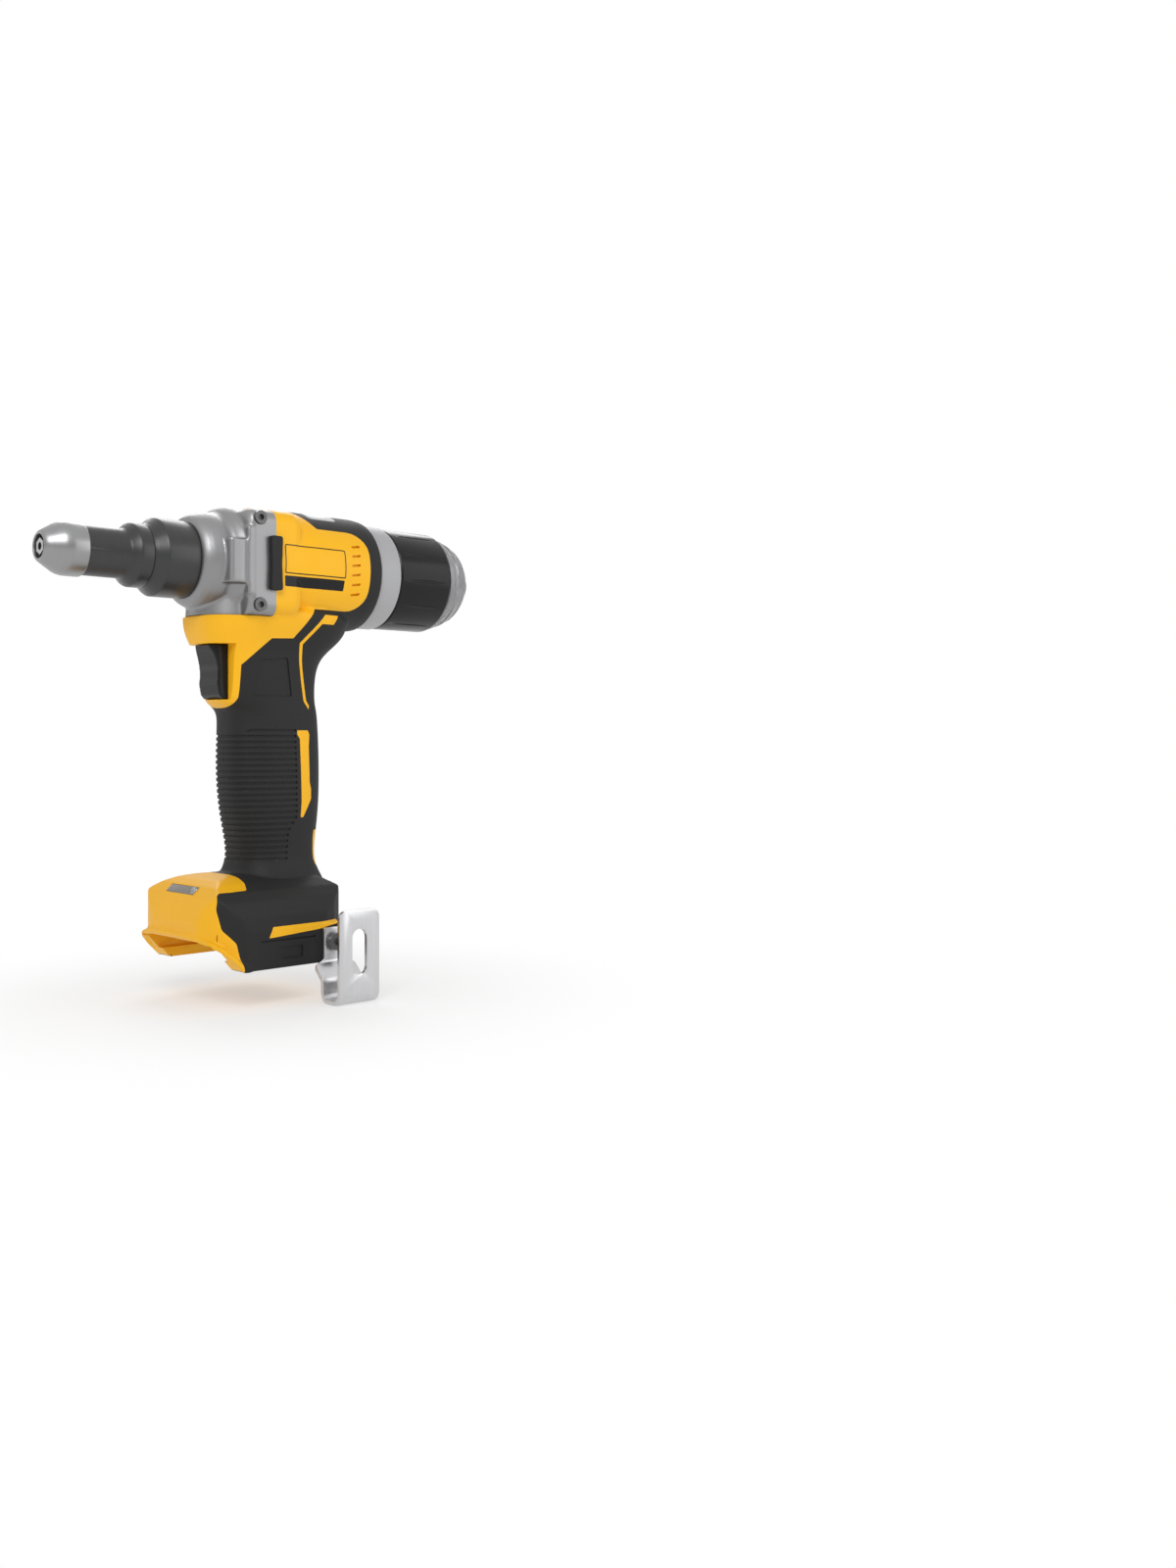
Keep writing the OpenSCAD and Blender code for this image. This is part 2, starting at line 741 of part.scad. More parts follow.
module gear_case() {
    corner = 3.5;
    pad_r = 19.5;
    pad_x = case_x0 + 5 + pad_r;
    crown = 4.5;
    crown_r = case_half_w - 0.3;
    lug_x0 = block_x0 + 2;
    rib_h = 21;
    rib_x0 = block_x0 - 9.8;
    color(alloy)
        difference() {
            union() {
                turned(concat(
                    [[0, neck_x0], [neck_r, neck_x0], [neck_r, case_x0 + slip]],
                    arc(case_front_r - 1.5, case_x0 + 1.5 + slip, 1.5, -90, -20, 4),
                    arc(case_boss_r - 2.5, case_x0 + 7.5, 2.5, -40, 0, 4),
                    [[case_boss_r + 0.6, block_x0 - crown - 3]],
                    arc(crown_r - crown, block_x0 + 1, crown, -70, 0),
                    [[crown_r, lug_x0 + past], [crown_r - 0.5, lug_x0 + 4]],
                    [[crown_r - 0.5, case_x1], [0, case_x1]]
                ));
                along_x(lug_x0, case_x1)
                    translate([0, (case_top - case_base) / 2])
                        round_rect(2 * case_half_w, case_top + case_base, corner);
                translate([pad_x, 0, -case_base])
                    linear_extrude(case_base - 12)
                        polygon(concat(
                            arc(0, 0, pad_r, 90, 270, 16),
                            [[case_x1 - pad_x, -pad_r], [case_x1 - pad_x, pad_r]]
                        ));
                along_x(rib_x0, lug_x0 + past)
                    translate([0, -1])
                        round_rect(2 * (case_half_w - 1), rib_h, 3);
            }
            block([case_x0, -foot_w, -foot_w], [case_x1 + past, foot_w, -case_base]);
            rod(neck_x0 - past, thrust_x0 + past, sleeve_rear_r + slip);
            rod(thrust_x0, carrier_x0 - gap, nut_flange_r + slip);
            rod(carrier_x0 - gap, ring_gear_x0 + past, carrier_r + gap);
            rod(ring_gear_x0 - seat, case_x1 + past, ring_gear_r + slip);
            for (s = [-1, 1], z = case_screw_z) {
                post(case_screw_x, z, s > 0 ? case_half_w - case_screw_depth : -case_half_w - past,
                    s > 0 ? case_half_w + past : -case_half_w + case_screw_depth, case_screw_r + slip);
                post(case_screw_x, z, s > 0 ? case_half_w - 1 : -case_half_w - past,
                    s > 0 ? case_half_w + past : -case_half_w + 1, case_screw_head_r + seat);
            }
        }
}

module gear_case_screws() {
    head_h = 1.8;
    socket_r = 1.5;
    color(black)
        for (s = [-1, 1], z = case_screw_z)
            mirror([0, s > 0 ? 0 : 1, 0])
                difference() {
                    union() {
                        post(case_screw_x, z, case_half_w - 1, case_half_w - 1 + head_h, case_screw_head_r);
                        post(case_screw_x, z, case_half_w - case_screw_depth + edge, case_half_w - edge,
                            case_screw_r);
                    }
                    translate([case_screw_x, case_half_w - 1 + head_h + past, z])
                        rotate([90, 0, 0])
                            cylinder(h = past + 1.2, r = socket_r, $fn = 6);
                }
}

bumper_h = 25;
bumper_l = 6;
bumper_x0 = case_x1 - 4;
bumper_t = 2.6;

bumper_z = -1;

module side_bumpers() {
    color(black)
        for (s = [-1, 1])
            translate([0, s * (case_half_w + bumper_t / 2), bumper_z])
                across(bumper_t)
                    translate([bumper_x0 + bumper_l / 2, 0])
                        round_rect(bumper_l, bumper_h, 1.2);
}

// The seats of the bumpers in the housing
module bumper_seats() {
    for (s = [-1, 1])
        translate([0, s * (case_half_w + foot_w / 2), bumper_z])
            across(foot_w)
                translate([bumper_x0 + bumper_l / 2, 0])
                    round_rect(bumper_l + 2 * seat, bumper_h + 2 * seat, 1.2 + seat);
}

// Planetary gears

module ring_gear() {
    color(steel)
        along_x(ring_gear_x0, ring_gear_x1)
            difference() {
                circle(ring_gear_r);
                gear_outline(ring_teeth, ring_pr + dedendum, ring_pr - addendum, ring_phase + 180 / ring_teeth,
                    0.2, 0.36);
            }
}

module planet_carrier() {
    color(steel)
        difference() {
            union() {
                rod(carrier_x0, carrier_x1, carrier_r);
                for (k = [1:planet_count])
                    rotate([planet_angle(k), 0, 0])
                        translate([0, planet_orbit, 0])
                            rod(carrier_x1 - edge, gear_x1, planet_pin_r);
            }
            rod(carrier_x0 - past, carrier_x1 + past, screw_r + 0.8);
        }
}

module planet_gear(k) {
    hub_r = planet_pin_r + 1.4;
    color(alloy)
        difference() {
            rotate([planet_angle(k), 0, 0])
                translate([0, planet_orbit, 0])
                    rotate([planet_phase(k) - planet_angle(k), 0, 0])
                        union() {
                            along_x(gear_x0, gear_x1)
                                gear_outline(planet_teeth, planet_pr + addendum, planet_pr - dedendum, 0);
                            rod(carrier_x1 + gap, gear_x0 + edge, hub_r);
                        }
            rotate([planet_angle(k), 0, 0])
                translate([0, planet_orbit, 0])
                    rod(carrier_x1, gear_x1 + past, planet_pin_r + slip / 2);
        }
}

module planet_gear_1() {
    planet_gear(1);
}

module planet_gear_2() {
    planet_gear(2);
}

module planet_gear_3() {
    planet_gear(3);
}

module sun_gear() {
    color(steel)
        along_x(gear_x0, gear_x1)
            difference() {
                gear_outline(sun_teeth, sun_pr + addendum, sun_pr - dedendum, 0);
                circle(shaft_front_r);
            }
}

// Motor

module rotor_shaft() {
    color(steel)
        turned([
            [shaft_bore_r, gear_x0],
            [shaft_front_r, gear_x0],
            [shaft_front_r, gear_x1],
            [shaft_r, gear_x1],
            [shaft_r, shaft_wide_x1 + 0.6],
            [shaft_mid_r, shaft_wide_x1 + 0.6],
            [shaft_mid_r, fan_x1],
            [shaft_rear_r, fan_x1 + 1.5],
            [shaft_rear_r, shaft_x1],
            [screw_bore_r, shaft_x1],
            [screw_bore_r, shaft_wide_x1],
            [shaft_bore_r, shaft_wide_x1]
        ]);
}

module rotor_core() {
    magnets = 8;
    color([0.45, 0.45, 0.47])
        along_x(stator_x0, stator_x1)
            difference() {
                circle(rotor_r);
                circle(shaft_mid_r);
                for (i = [1:magnets])
                    rotate(360 * i / magnets)
                        translate([rotor_r - 2.4, 0])
                            square([1.4, 4.6], center = true);
            }
}

module stator_core() {
    tooth_w = 4;
    shoe = 1.6;
    yoke = 2.8;
    shoe_half = 0.4 * 360 / stator_teeth;
    color([0.4, 0.4, 0.42])
        along_x(stator_x0, stator_x1)
            union() {
                difference() {
                    circle(stator_r);
                    circle(stator_r - yoke);
                }
                for (i = [1:stator_teeth])
                    rotate(360 * i / stator_teeth) {
                        translate([stator_bore_r + shoe / 2, -tooth_w / 2])
                            square([stator_r - yoke / 2 - stator_bore_r - shoe / 2, tooth_w]);
                        intersection() {
                            difference() {
                                circle(stator_bore_r + shoe);
                                circle(stator_bore_r);
                            }
                            polygon([
                                [0, 0],
                                [2 * stator_r, -2 * stator_r * tan(shoe_half)],
                                [2 * stator_r, 2 * stator_r * tan(shoe_half)]
                            ]);
                        }
                    }
            }
}

module stator_coils() {
    tooth_half = 2 + seat;
    coil_half = 4.4;
    r0 = stator_bore_r + 1.6 + seat;
    r1 = stator_r - 2.8 - 4 * seat;
    color(copper)
        for (i = [1:stator_teeth])
            rotate([360 * i / stator_teeth, 0, 0])
                difference() {
                    block([stator_x0 - coil_over, r0, -coil_half], [stator_x1 + coil_over, r1, coil_half]);
                    block([stator_x0 - slip, r0 - past, -tooth_half],
                        [stator_x1 + slip, r1 + past, tooth_half]);
                }
}

module hall_board() {
    color([0.1, 0.35, 0.2])
        pipe(board_x0, board_x0 + board_t, stator_r, shaft_r + 1);
}

module cooling_fan() {
    blades = 9;
    disc_t = 1.4;
    hub_r = shaft_mid_r + 2.5;
    color(black)
        difference() {
            union() {
                rod(fan_x0, fan_x1, hub_r);
                rod(fan_x1 - disc_t, fan_x1, fan_r);
                for (i = [1:blades])
                    rotate([360 * i / blades, 0, 0])
                        translate([0, 0, -1])
                            block([fan_x0, hub_r - 1, 0], [fan_x1 - edge, fan_r - 0.6, 1.4]);
            }
            rod(fan_x0 - past, fan_x1 + past, shaft_mid_r);
        }
}

module motor_front_plate() {
    color(alloy)
        difference() {
            union() {
                rod(plate_x0, case_x1, plate_r);
                rod(plate_x0, plate_x1, barrel_bore_r - slip);
            }
            rod(plate_x0 - past, plate_x1 + past, shaft_r + 1.2);
            rod(front_bearing_x0, plate_x1 + past, front_bearing_r);
        }
}

// A ball bearing's outline in section: two rings joined by a narrower web for the balls
module bearing(x0, x1, r0, r1) {
    ring = (r1 - r0) * 0.3;
    dish = 0.6;
    color(steel)
        turned([
            [r0, x0],
            [r0 + ring, x0],
            [r0 + ring, x0 + dish],
            [r1 - ring, x0 + dish],
            [r1 - ring, x0],
            [r1, x0],
            [r1, x1],
            [r1 - ring, x1],
            [r1 - ring, x1 - dish],
            [r0 + ring, x1 - dish],
            [r0 + ring, x1],
            [r0, x1]
        ]);
}

module front_bearing() {
    bearing(front_bearing_x0, front_bearing_x1, shaft_r + slip / 2, front_bearing_r);
}

module rear_bearing() {
    bearing(rear_plate_x0, rear_plate_x0 + rear_bearing_w, shaft_rear_r + slip / 2, rear_bearing_r);
}

module rear_plate() {
    seal_x = rear_spigot_x1 - 1.6;
    color(black)
        difference() {
            union() {
                rod(rear_plate_x0, barrel_x1 - seat, barrel_bore_r - seat / 2);
                rod(barrel_x1 - 1, rear_spigot_x1, spigot_out_r);
            }
            rod(rear_plate_x0 - past, rear_plate_x0 + rear_bearing_w, rear_bearing_r);
            rod(rear_plate_x0, rear_plate_x0 + rear_bearing_w + 1.4, shaft_rear_r + 1);
            rod(rear_plate_x0, rear_spigot_x1 + past, tube_outer_r);
            rod(barrel_x1 + 1, rear_spigot_x1 + past, spigot_out_r - spigot_t);
            pipe(seal_x - 1, seal_x + 1, spigot_out_r + past, spigot_out_r - 1.5);
        }
}

module mandrel_tube() {
    color(steel)
        pipe(tube_x0, mandrel_tube_x1, tube_outer_r, tube_bore_r);
}

module cup_seal() {
    seal_x = rear_spigot_x1 - 1.6;
    seal_r = 0.75;
    color(black)
        rotate([0, 90, 0])
            translate([0, 0, seal_x])
                rotate_extrude()
                    translate([spigot_out_r - 0.7, 0])
                        circle(seal_r);
}

// Collector

module collector_ring() {
    color([0.64, 0.64, 0.66])
        turned([
            [spigot_out_r + slip, ring_x0],
            [ring_r - 0.8, ring_x0],
            [ring_r, ring_x0 + 0.8],
            [ring_r, ring_x1 - 0.6],
            [ring_r - 0.6, ring_x1],
            [cup_neck_r + slip, ring_x1],
            [cup_neck_r + slip, ring_x1 - collar_depth],
            [spigot_out_r + slip, ring_x1 - collar_depth]
        ]);
}

module collector_cup() {
    grooves = 10;
    groove_r = 0.9;
    color(black)
        difference() {
            turned(concat(
                [
                    [spigot_out_r + seat, ring_x1 - collar_depth + seat],
                    [cup_neck_r, ring_x1 - collar_depth + seat],
                    [cup_neck_r, cup_x0]
                ],
                arc(cup_r - 0.8, cup_x0 + 0.8, 0.8, -90, 0, 3),
                arc(cup_r - 1.6, cup_x1 - 1.3, 1.3, 0, 90, 3),
                [
                    [cup_r - cup_wall - seat, cup_x1],
                    [cup_r - cup_wall - seat, cup_x0 + 2],
                    [spigot_out_r + seat, cup_x0]
                ]
            ));
            for (i = [0:grooves - 1])
                rotate([360 * (i + 0.5) / grooves, 0, 0])
                    translate([0, cup_r + 0.4, 0])
                        rod(cup_x0 + 7, cup_x1 - 3, groove_r);
        }
}

module collector_window() {
    lip_r = cup_r - cup_wall - 2 * seat;
    rim_r = cup_r - 2.2;
    dome_r = rim_r - 2.6;
    rim_len = 3.4;
    color([0.85, 0.87, 0.88, 0.4])
        turned(concat(
            [[lip_r - window_t, cup_x1 - 4], [lip_r, cup_x1 - 4], [lip_r, cup_x1], [rim_r, cup_x1]],
            arc(rim_r - 0.8, cup_x1 + rim_len - 0.8, 0.8, 0, 90, 3),
            arc(dome_r - 2.4, window_x1 - 2.4, 2.4, 0, 90, 4),
            [
                [0, window_x1],
                [0, window_x1 - window_t],
                [dome_r - 2.4, window_x1 - window_t],
                [dome_r - window_t, window_x1 - 3.2],
                [dome_r - window_t, cup_x1]
            ]
        ));
}

// Housing: the whole outside of the clamshell, drawn in by d

module handle_loft(d) {
    points = [for (ring = handle_rings) each loft_ring(ring, d)];
    polyhedron(points, tube_faces(len(handle_rings), loft_sides));
}

module barrel_form(d) {
    rise_x = case_x1 + 17;
    block_run = 12;
    union() {
        rod(case_x1, barrel_x1, barrel_r - d);
        turned([
            [0, rise_x],
            [barrel_r + 0.2 - d, rise_x],
            [barrel_r + 0.8 - d, rise_x + 6],
            [barrel_r + 0.8 - d, barrel_x1 - 5],
            [barrel_r + 0.2 - d, barrel_x1 - 0.4],
            [0, barrel_x1 - 0.4]
        ]);
        along_x(case_x1, case_x1 + block_run)
            translate([0, (case_top - case_base) / 2])
                round_rect(2 * (case_half_w - d), case_top + case_base - 2 * d, 7);
    }
}

module foot_form(d) {
    top = -foot_top - d;
    x0 = foot_front + d;
    x1 = foot_rear - d;
    hw = foot_hw - d;
    corner = 11;
    turn = foot_turn - d;
    pad_x0 = hook_x - hook_tab_w / 2 - 2.5 + d;
    pad_x1 = hook_x + hook_tab_w / 2 + edge - d;
    pad_top = hook_hole_z + 8.6 - d;
    bottom = -foot_bottom;
    intersection() {
        across(2 * foot_w)
            polygon(concat(
                [[handle_front, top], [x0 + 11, top - 0.6], [x0 + 2.6, top - 6.4]],
                [[x0 + 0.4, top - 9], [x0, top - 15], [x0 + 1, brow_z + 2.6], [x0, brow_z + 1.4]],
                [[x0 + 0.4, brow_z], [x0 + 2.4, brow_z - 0.8], [x0 + 14, bottom]],
                [[x1 - 6, bottom], [x1 - 1, bottom + 8]],
                arc(x1 - 8, top - 11, 8, 0, 60, 4),
                [[x1 - 10, top]]
            ));
        union() {
            translate([0, 0, bottom])
                linear_extrude(foot_h + past)
                    polygon(concat(
                        arc(x0 + corner + 3, -hw + corner, corner, 200, 270),
                        arc(x1 - turn, -hw + turn, turn, 270, 360, 9),
                        arc(x1 - turn, hw - turn, turn, 0, 90, 9),
                        arc(x0 + corner + 3, hw - corner, corner, 90, 160)
                    ));
            block([pad_x0, -hw, bottom], [pad_x1, hw, pad_top]);
        }
        along_x(x0 - past, x1 + past)
            polygon([
                [-hw, bottom], [hw, bottom], [hw, top - 15], [hw - 2.5, top - 9], [hw - 8, top - 4.5],
                [hw - 17, top], [-hw + 17, top], [-hw + 8, top - 4.5], [-hw + 2.5, top - 9], [-hw, top - 15]
            ]);
    }
}

module body_form(d) {
    difference() {
        union() {
            barrel_form(d);
            handle_loft(d);
            foot_form(d);
        }
        block([0, -foot_w, -barrel_axis_drop], [case_x1, foot_w, 2 * case_top]);
        trigger_recess();
    }
}

// The space in front of the trigger's frame
module trigger_recess() {
    across(2 * foot_w)
        polygon([
            [0, -trigger_top + gap],
            [trigger_frame_x, -trigger_top + gap],
            [trigger_frame_x, -trigger_bottom - gap],
            [0, -trigger_bottom - gap]
        ]);
}

// Side view of what stays yellow: barrel and trigger frame, hood of the foot, and accents in the rubber
module yellow_zone() {
    panel_top = barrel_r - 6;
    panel_bottom = -case_base + 5;
    panel_x1 = barrel_x1 - 6.5;
    corner = 9.5;
    hood_x = foot_front + 5.5;
    across(3 * foot_w) {
        polygon(concat(
            [[0, 2 * case_top], [case_x1 + 13, 2 * case_top]],
            [[case_x1 + 15, barrel_r + 0.5], [case_x1 + 27, panel_top]],
            arc(panel_x1 - corner, panel_top - corner, corner, 90, 0),
            arc(panel_x1 - corner, panel_bottom + corner, corner, 0, -90),
            [[case_x1 + 25, panel_bottom]],
            [[case_x1 + 14, -barrel_axis_drop - 9.2], [case_x1 + 2.6, -barrel_axis_drop - 9.7]],
            [[trigger_frame_x + 4, -trigger_top - 10], [trigger_frame_x + 3, -trigger_bottom]],
            [[trigger_frame_x + 1, -trigger_bottom - 4.4], [0, -trigger_bottom - 4.4]]
        ));
        polygon([
            [0, -foot_top + 5], [handle_front + 1, -foot_top + 5], [handle_front + 1, -foot_top - 3.5],
            [handle_front - 2, -foot_top - 6], [hood_x, -foot_top - 6.5], [hood_x + 0.5, -foot_top - 13],
            [hood_x + 2.5, -foot_top - 22], [hood_x + 6.5, -foot_top - 29], [hood_x + 13, -foot_bottom - past],
            [0, -foot_bottom - past]
        ]);
        translate([handle_x, -trigger_bottom])
            polygon([
                [5, -15.5], [11.5, -15.5], [12.5, -17.5], [12, -23.5], [12.5, -40.5], [13.5, -43.5],
                [13.5, -48.5], [8.5, -57], [7, -57], [7.5, -49.5], [6.5, -19.5], [5, -17.5]
            ]);
        translate([handle_x, -trigger_top])
            polygon([
                [26, 15.8], [17.5, 15.8], [5.5, 1.8], [6.5, -6.7], [9.5, -25.7], [12.5, -29.7],
                [13, -27.9], [11.2, -25.3], [8.1, -6.7], [7.3, 1.3], [16, 11.3], [23, 11.3]
            ]);
        translate([handle_x, ceiling_z])
            polygon([[-24, -1.8], [-22.5, 3], [14, 4.4], [15, 3.2], [4, 0.6], [-22, -1.8]]);
    }
}

// Everything hollow in the clamshell
module shell_hollow() {
    rod(case_x1 - past, barrel_x1 + past, barrel_bore_r);
    difference() {
        intersection() {
            handle_loft(rubber_t + wall);
            block([0, -foot_w, -2 * foot_top], [2 * foot_rear, foot_w, -barrel_axis_drop - wall]);
        }
        block([0, -foot_w, -trigger_bottom - wall - gap], [trigger_frame_x + wall, foot_w, 0]);
    }
    intersection() {
        handle_loft(rubber_t + wall);
        block([case_x1 + 20, -foot_w, -case_base - 20], [fan_x0, foot_w, -case_base + 10]);
    }
    block([module_x0 - seat, -module_hw - seat, module_z0 - seat],
        [module_x1 + seat, module_hw + seat, module_z0 + module_t + 3]);
    trigger_cut = trigger_w / 2 + gap;
    block([0, -trigger_cut, -trigger_bottom - gap], [switch_x0, trigger_cut, -trigger_top + gap]);
    block([trigger_frame_x + wall, -trigger_flange_hw - gap, -trigger_bottom + 5],
        [switch_x0, trigger_flange_hw + gap, -trigger_top - 5]);
    receptacle_cut();
    for (s = [-1, 1], i = [0:5])
        translate([0, 0, 11 - 4.6 * i])
            block([fan_x0 + 1 + 0.5 * abs(i - 2.5), s > 0 ? 10 : -foot_w, -0.9],
                [fan_x0 + 6 + 0.5 * abs(i - 2.5), s > 0 ? foot_w : -10, 0.9]);
    led_pocket();
    for (s = [-1, 1])
        post(hook_x, hook_hole_z, s > 0 ? foot_hw - insert_len : -foot_hw - past,
            s > 0 ? foot_hw + past : -foot_hw + insert_len, insert_r);
}

// The battery's way in, open to the front and the bottom, with a rail on each side
module receptacle_cut() {
    block([foot_front + brow_t + 1, -receptacle_w / 2, -foot_bottom + rail_h],
        [receptacle_x1, receptacle_w / 2, ceiling_z]);
    block([0, -receptacle_w / 2, -foot_bottom + rail_h], [receptacle_x1, receptacle_w / 2, brow_z - 1.6]);
    block([0, -rail_gap / 2, -foot_bottom - past], [receptacle_x1, rail_gap / 2, ceiling_z - 2 * rail_h]);
}

// Bosses that the clamshell's screws run in, and the shelf under the switch
module shell_ribs() {
    intersection() {
        body_form(rubber_t);
        union() {
            for (p = shell_screws)
                post(p[0], p[1], -p[2] - 2, p[2] + 2, boss_r);
            block([switch_x0 - past, -half_handle, switch_z0 - seat - wall],
                [switch_x1 + past, half_handle, switch_z0 - seat]);
        }
    }
}

// Holes for the clamshell's screws, open on the right
module screw_holes() {
    for (p = shell_screws) {
        post(p[0], p[1], -p[2], p[2] + past, screw_shank_r + slip);
        post(p[0], p[1], p[2], foot_w, screw_head_r + seat);
    }
}

module shell() {
    color(yellow)
        difference() {
            union() {
                difference() {
                    union() {
                        intersection() {
                            body_form(0);
                            yellow_zone();
                        }
                        body_form(rubber_t);
                    }
                    shell_hollow();
                }
                shell_ribs();
            }
            screw_holes();
            bumper_seats();
        }
}

// The clamshell is taken in three lengths on each side: barrel, handle and foot
barrel_low = -trigger_top + wall;
foot_high = -foot_top + past;

module shell_part(s, z0, z1) {
    intersection() {
        shell();
        block([-foot_w, s > 0 ? 0 : -foot_w, z0], [2 * foot_rear, s > 0 ? foot_w : 0, z1]);
    }
}

module barrel_left() {
    shell_part(-1, barrel_low, foot_bottom);
}

module barrel_right() {
    shell_part(1, barrel_low, foot_bottom);
}

module handle_left() {
    shell_part(-1, foot_high, barrel_low);
}

module handle_right() {
    shell_part(1, foot_high, barrel_low);
}

module foot_left() {
    shell_part(-1, -2 * foot_bottom, foot_high);
}

module foot_right() {
    shell_part(1, -2 * foot_bottom, foot_high);
}

module rubber() {
    color(charcoal)
        difference() {
            body_form(0);
            body_form(rubber_t);
            yellow_zone();
            receptacle_cut();
            screw_holes();
            led_pocket();
            for (s = [-1, 1])
                post(hook_x, hook_hole_z, s > 0 ? 0 : -foot_w, s > 0 ? foot_w : 0, insert_r);
        }
}

module grip_left() {
    intersection() {
        rubber();
        side_of(-1);
    }
}

module grip_right() {
    intersection() {
        rubber();
        side_of(1);
    }
}

module housing_screws() {
    socket_r = 1.3;
    color(black)
        for (p = shell_screws)
            difference() {
                union() {
                    post(p[0], p[1], -p[2] + edge, p[2] + edge, screw_shank_r);
                    post(p[0], p[1], p[2], p[2] + screw_head_h, screw_head_r);
                }
                translate([p[0], p[2] + screw_head_h + past, p[1]])
                    rotate([90, 0, 0])
                        cylinder(h = past + 1.4, r = socket_r, $fn = 6);
            }
}

// Trigger and electrics

module trigger() {
    hollow_r = 24;
    side_r = 4.5;
    mid_z = -(trigger_top + trigger_bottom) / 2;
    color(black)
        difference() {
            union() {
                intersection() {
                    across(trigger_w)
                        difference() {
                            polygon([
                                [trigger_front_x, -trigger_top],
                                [trigger_x1, -trigger_top],
                                [trigger_x1, -trigger_bottom],
                                [trigger_front_x + 5.6, -trigger_bottom],
                                [trigger_front_x + 4, -trigger_bottom + 2]
                            ]);
                            translate([trigger_front_x + 3.6 - hollow_r, mid_z - 1.5])
                                circle(hollow_r);
                        }
                    translate([0, 0, -trigger_bottom - past])
                        linear_extrude(trigger_h + 2 * past)
                            polygon(concat(
                                arc(trigger_front_x + side_r, -trigger_w / 2 + side_r, side_r, 180, 270),
                                [[trigger_x1 + past, -trigger_w / 2], [trigger_x1 + past, trigger_w / 2]],
                                arc(trigger_front_x + side_r, trigger_w / 2 - side_r, side_r, 90, 180)
                            ));
                }
                block([trigger_flange_x0, -trigger_flange_hw, -trigger_bottom + 6],
                    [trigger_flange_x0 + 2, trigger_flange_hw, -trigger_top - 6]);
            }
            translate([0, 0, trigger_spring_z])
                rod(trigger_x1 - trigger_pocket, trigger_x1 + past, trigger_spring_r + 1.2);
        }
}

// Drawn at its length with the trigger pressed
module trigger_spring() {
    translate([0, 0, trigger_spring_z])
        color(steel)
            coil(trigger_x1 - trigger_pocket + trigger_travel + gap, switch_x0 - slip,
                trigger_spring_r, 0.5, 4);
}

module switch_module() {
    color(black)
        difference() {
            block([switch_x0, -switch_w / 2, switch_z0], [switch_x1, switch_w / 2, switch_z1]);
            for (s = [-1, 1])
                translate([switch_x1, s * switch_w / 2, switch_z0])
                    rotate([0, 0, 45])
                        cube([4, 4, 4 * switch_h], center = true);
        }
}

module control_module() {
    fins = 7;
    color([0.55, 0.56, 0.58])
        difference() {
            block([module_x0, -module_hw, module_z0], [module_x1, module_hw, module_z0 + module_t]);
            for (i = [1:fins])
                translate([module_x0 + (module_x1 - module_x0) * i / (fins + 1), 0, module_z0 + module_t])
                    cube([2, 2 * module_hw + 2 * past, 4], center = true);
        }
}

module wire_loom() {
    wire_r = 1.1;
    low = module_z0 + module_t + slip;
    x = handle_rear - 10;
    end_x = board_x0 + board_t + slip;
    end_z = -stator_r + 4;
    color([0.15, 0.15, 0.16])
        for (y = [-4, 0, 4])
            wire([
                [x, low], [x, low + 12], [x + 1, -foot_top + 25], [x + 1, -foot_top + 45],
                [x + 1, -trigger_bottom - 17.5], [x, -trigger_bottom + 2.5], [x, -trigger_top - 6.7],
                [x + 2, -barrel_axis_drop - 10.7], [x + 5, -barrel_axis_drop - 4.7], [x + 7, -case_base],
                [end_x + 3.9, end_z - 1.6], [end_x + 1.5, end_z - 0.2], [end_x, end_z]
            ], y, wire_r);
}

led_len = 25;
led_w = 6;
led_tilt = 35;
led_x = foot_front + 6.6;
led_z = -foot_top - 3.2;

// The work light's own frame: on the hood's front slope, facing up and forward
module at_led() {
    translate([led_x, 0, led_z])
        rotate([0, -led_tilt, 0])
            children();
}

module led_pocket() {
    at_led()
        translate([0, 0, -2])
            cube([led_w + 2 * seat, led_len + 2 * seat, 8], center = true);
}

module led_lens() {
    lens_t = 3;
    color([0.35, 0.35, 0.37])
        at_led()
            translate([0, 0, -0.6 - lens_t / 2 + 1])
                linear_extrude(lens_t, center = true)
                    round_rect(led_w, led_len, 1);
}

module led_board() {
    color([0.1, 0.35, 0.2])
        at_led()
            translate([0, 0, -4.4])
                cube([led_w - 0.6, led_len - 1, 1.6], center = true);
}

terminal_hw = 16;
terminal_h = 11.5;
terminal_x0 = receptacle_x1 - 20;
terminal_z0 = ceiling_z - terminal_h;
terminal_pitch = 5.5;
blade_half = 0.4;
blade_in = 6;

module terminal_block() {
    color(black)
        difference() {
            block([terminal_x0, -terminal_hw, terminal_z0], [receptacle_x1 - seat, terminal_hw, ceiling_z]);
            for (i = [-2:2])
                blade(i, terminal_x0 - past);
        }
}

// One contact blade of the row, from x0 back to its seat in the block
module blade(i, x0) {
    y = i * terminal_pitch;
    block([x0, y - blade_half, terminal_z0 + 1.5], [terminal_x0 + blade_in, y + blade_half, ceiling_z - 2.5]);
}

module terminal_blades() {
    color(brass)
        for (i = [-2:2])
            blade(i, terminal_x0 - 7);
}

// Belt hook

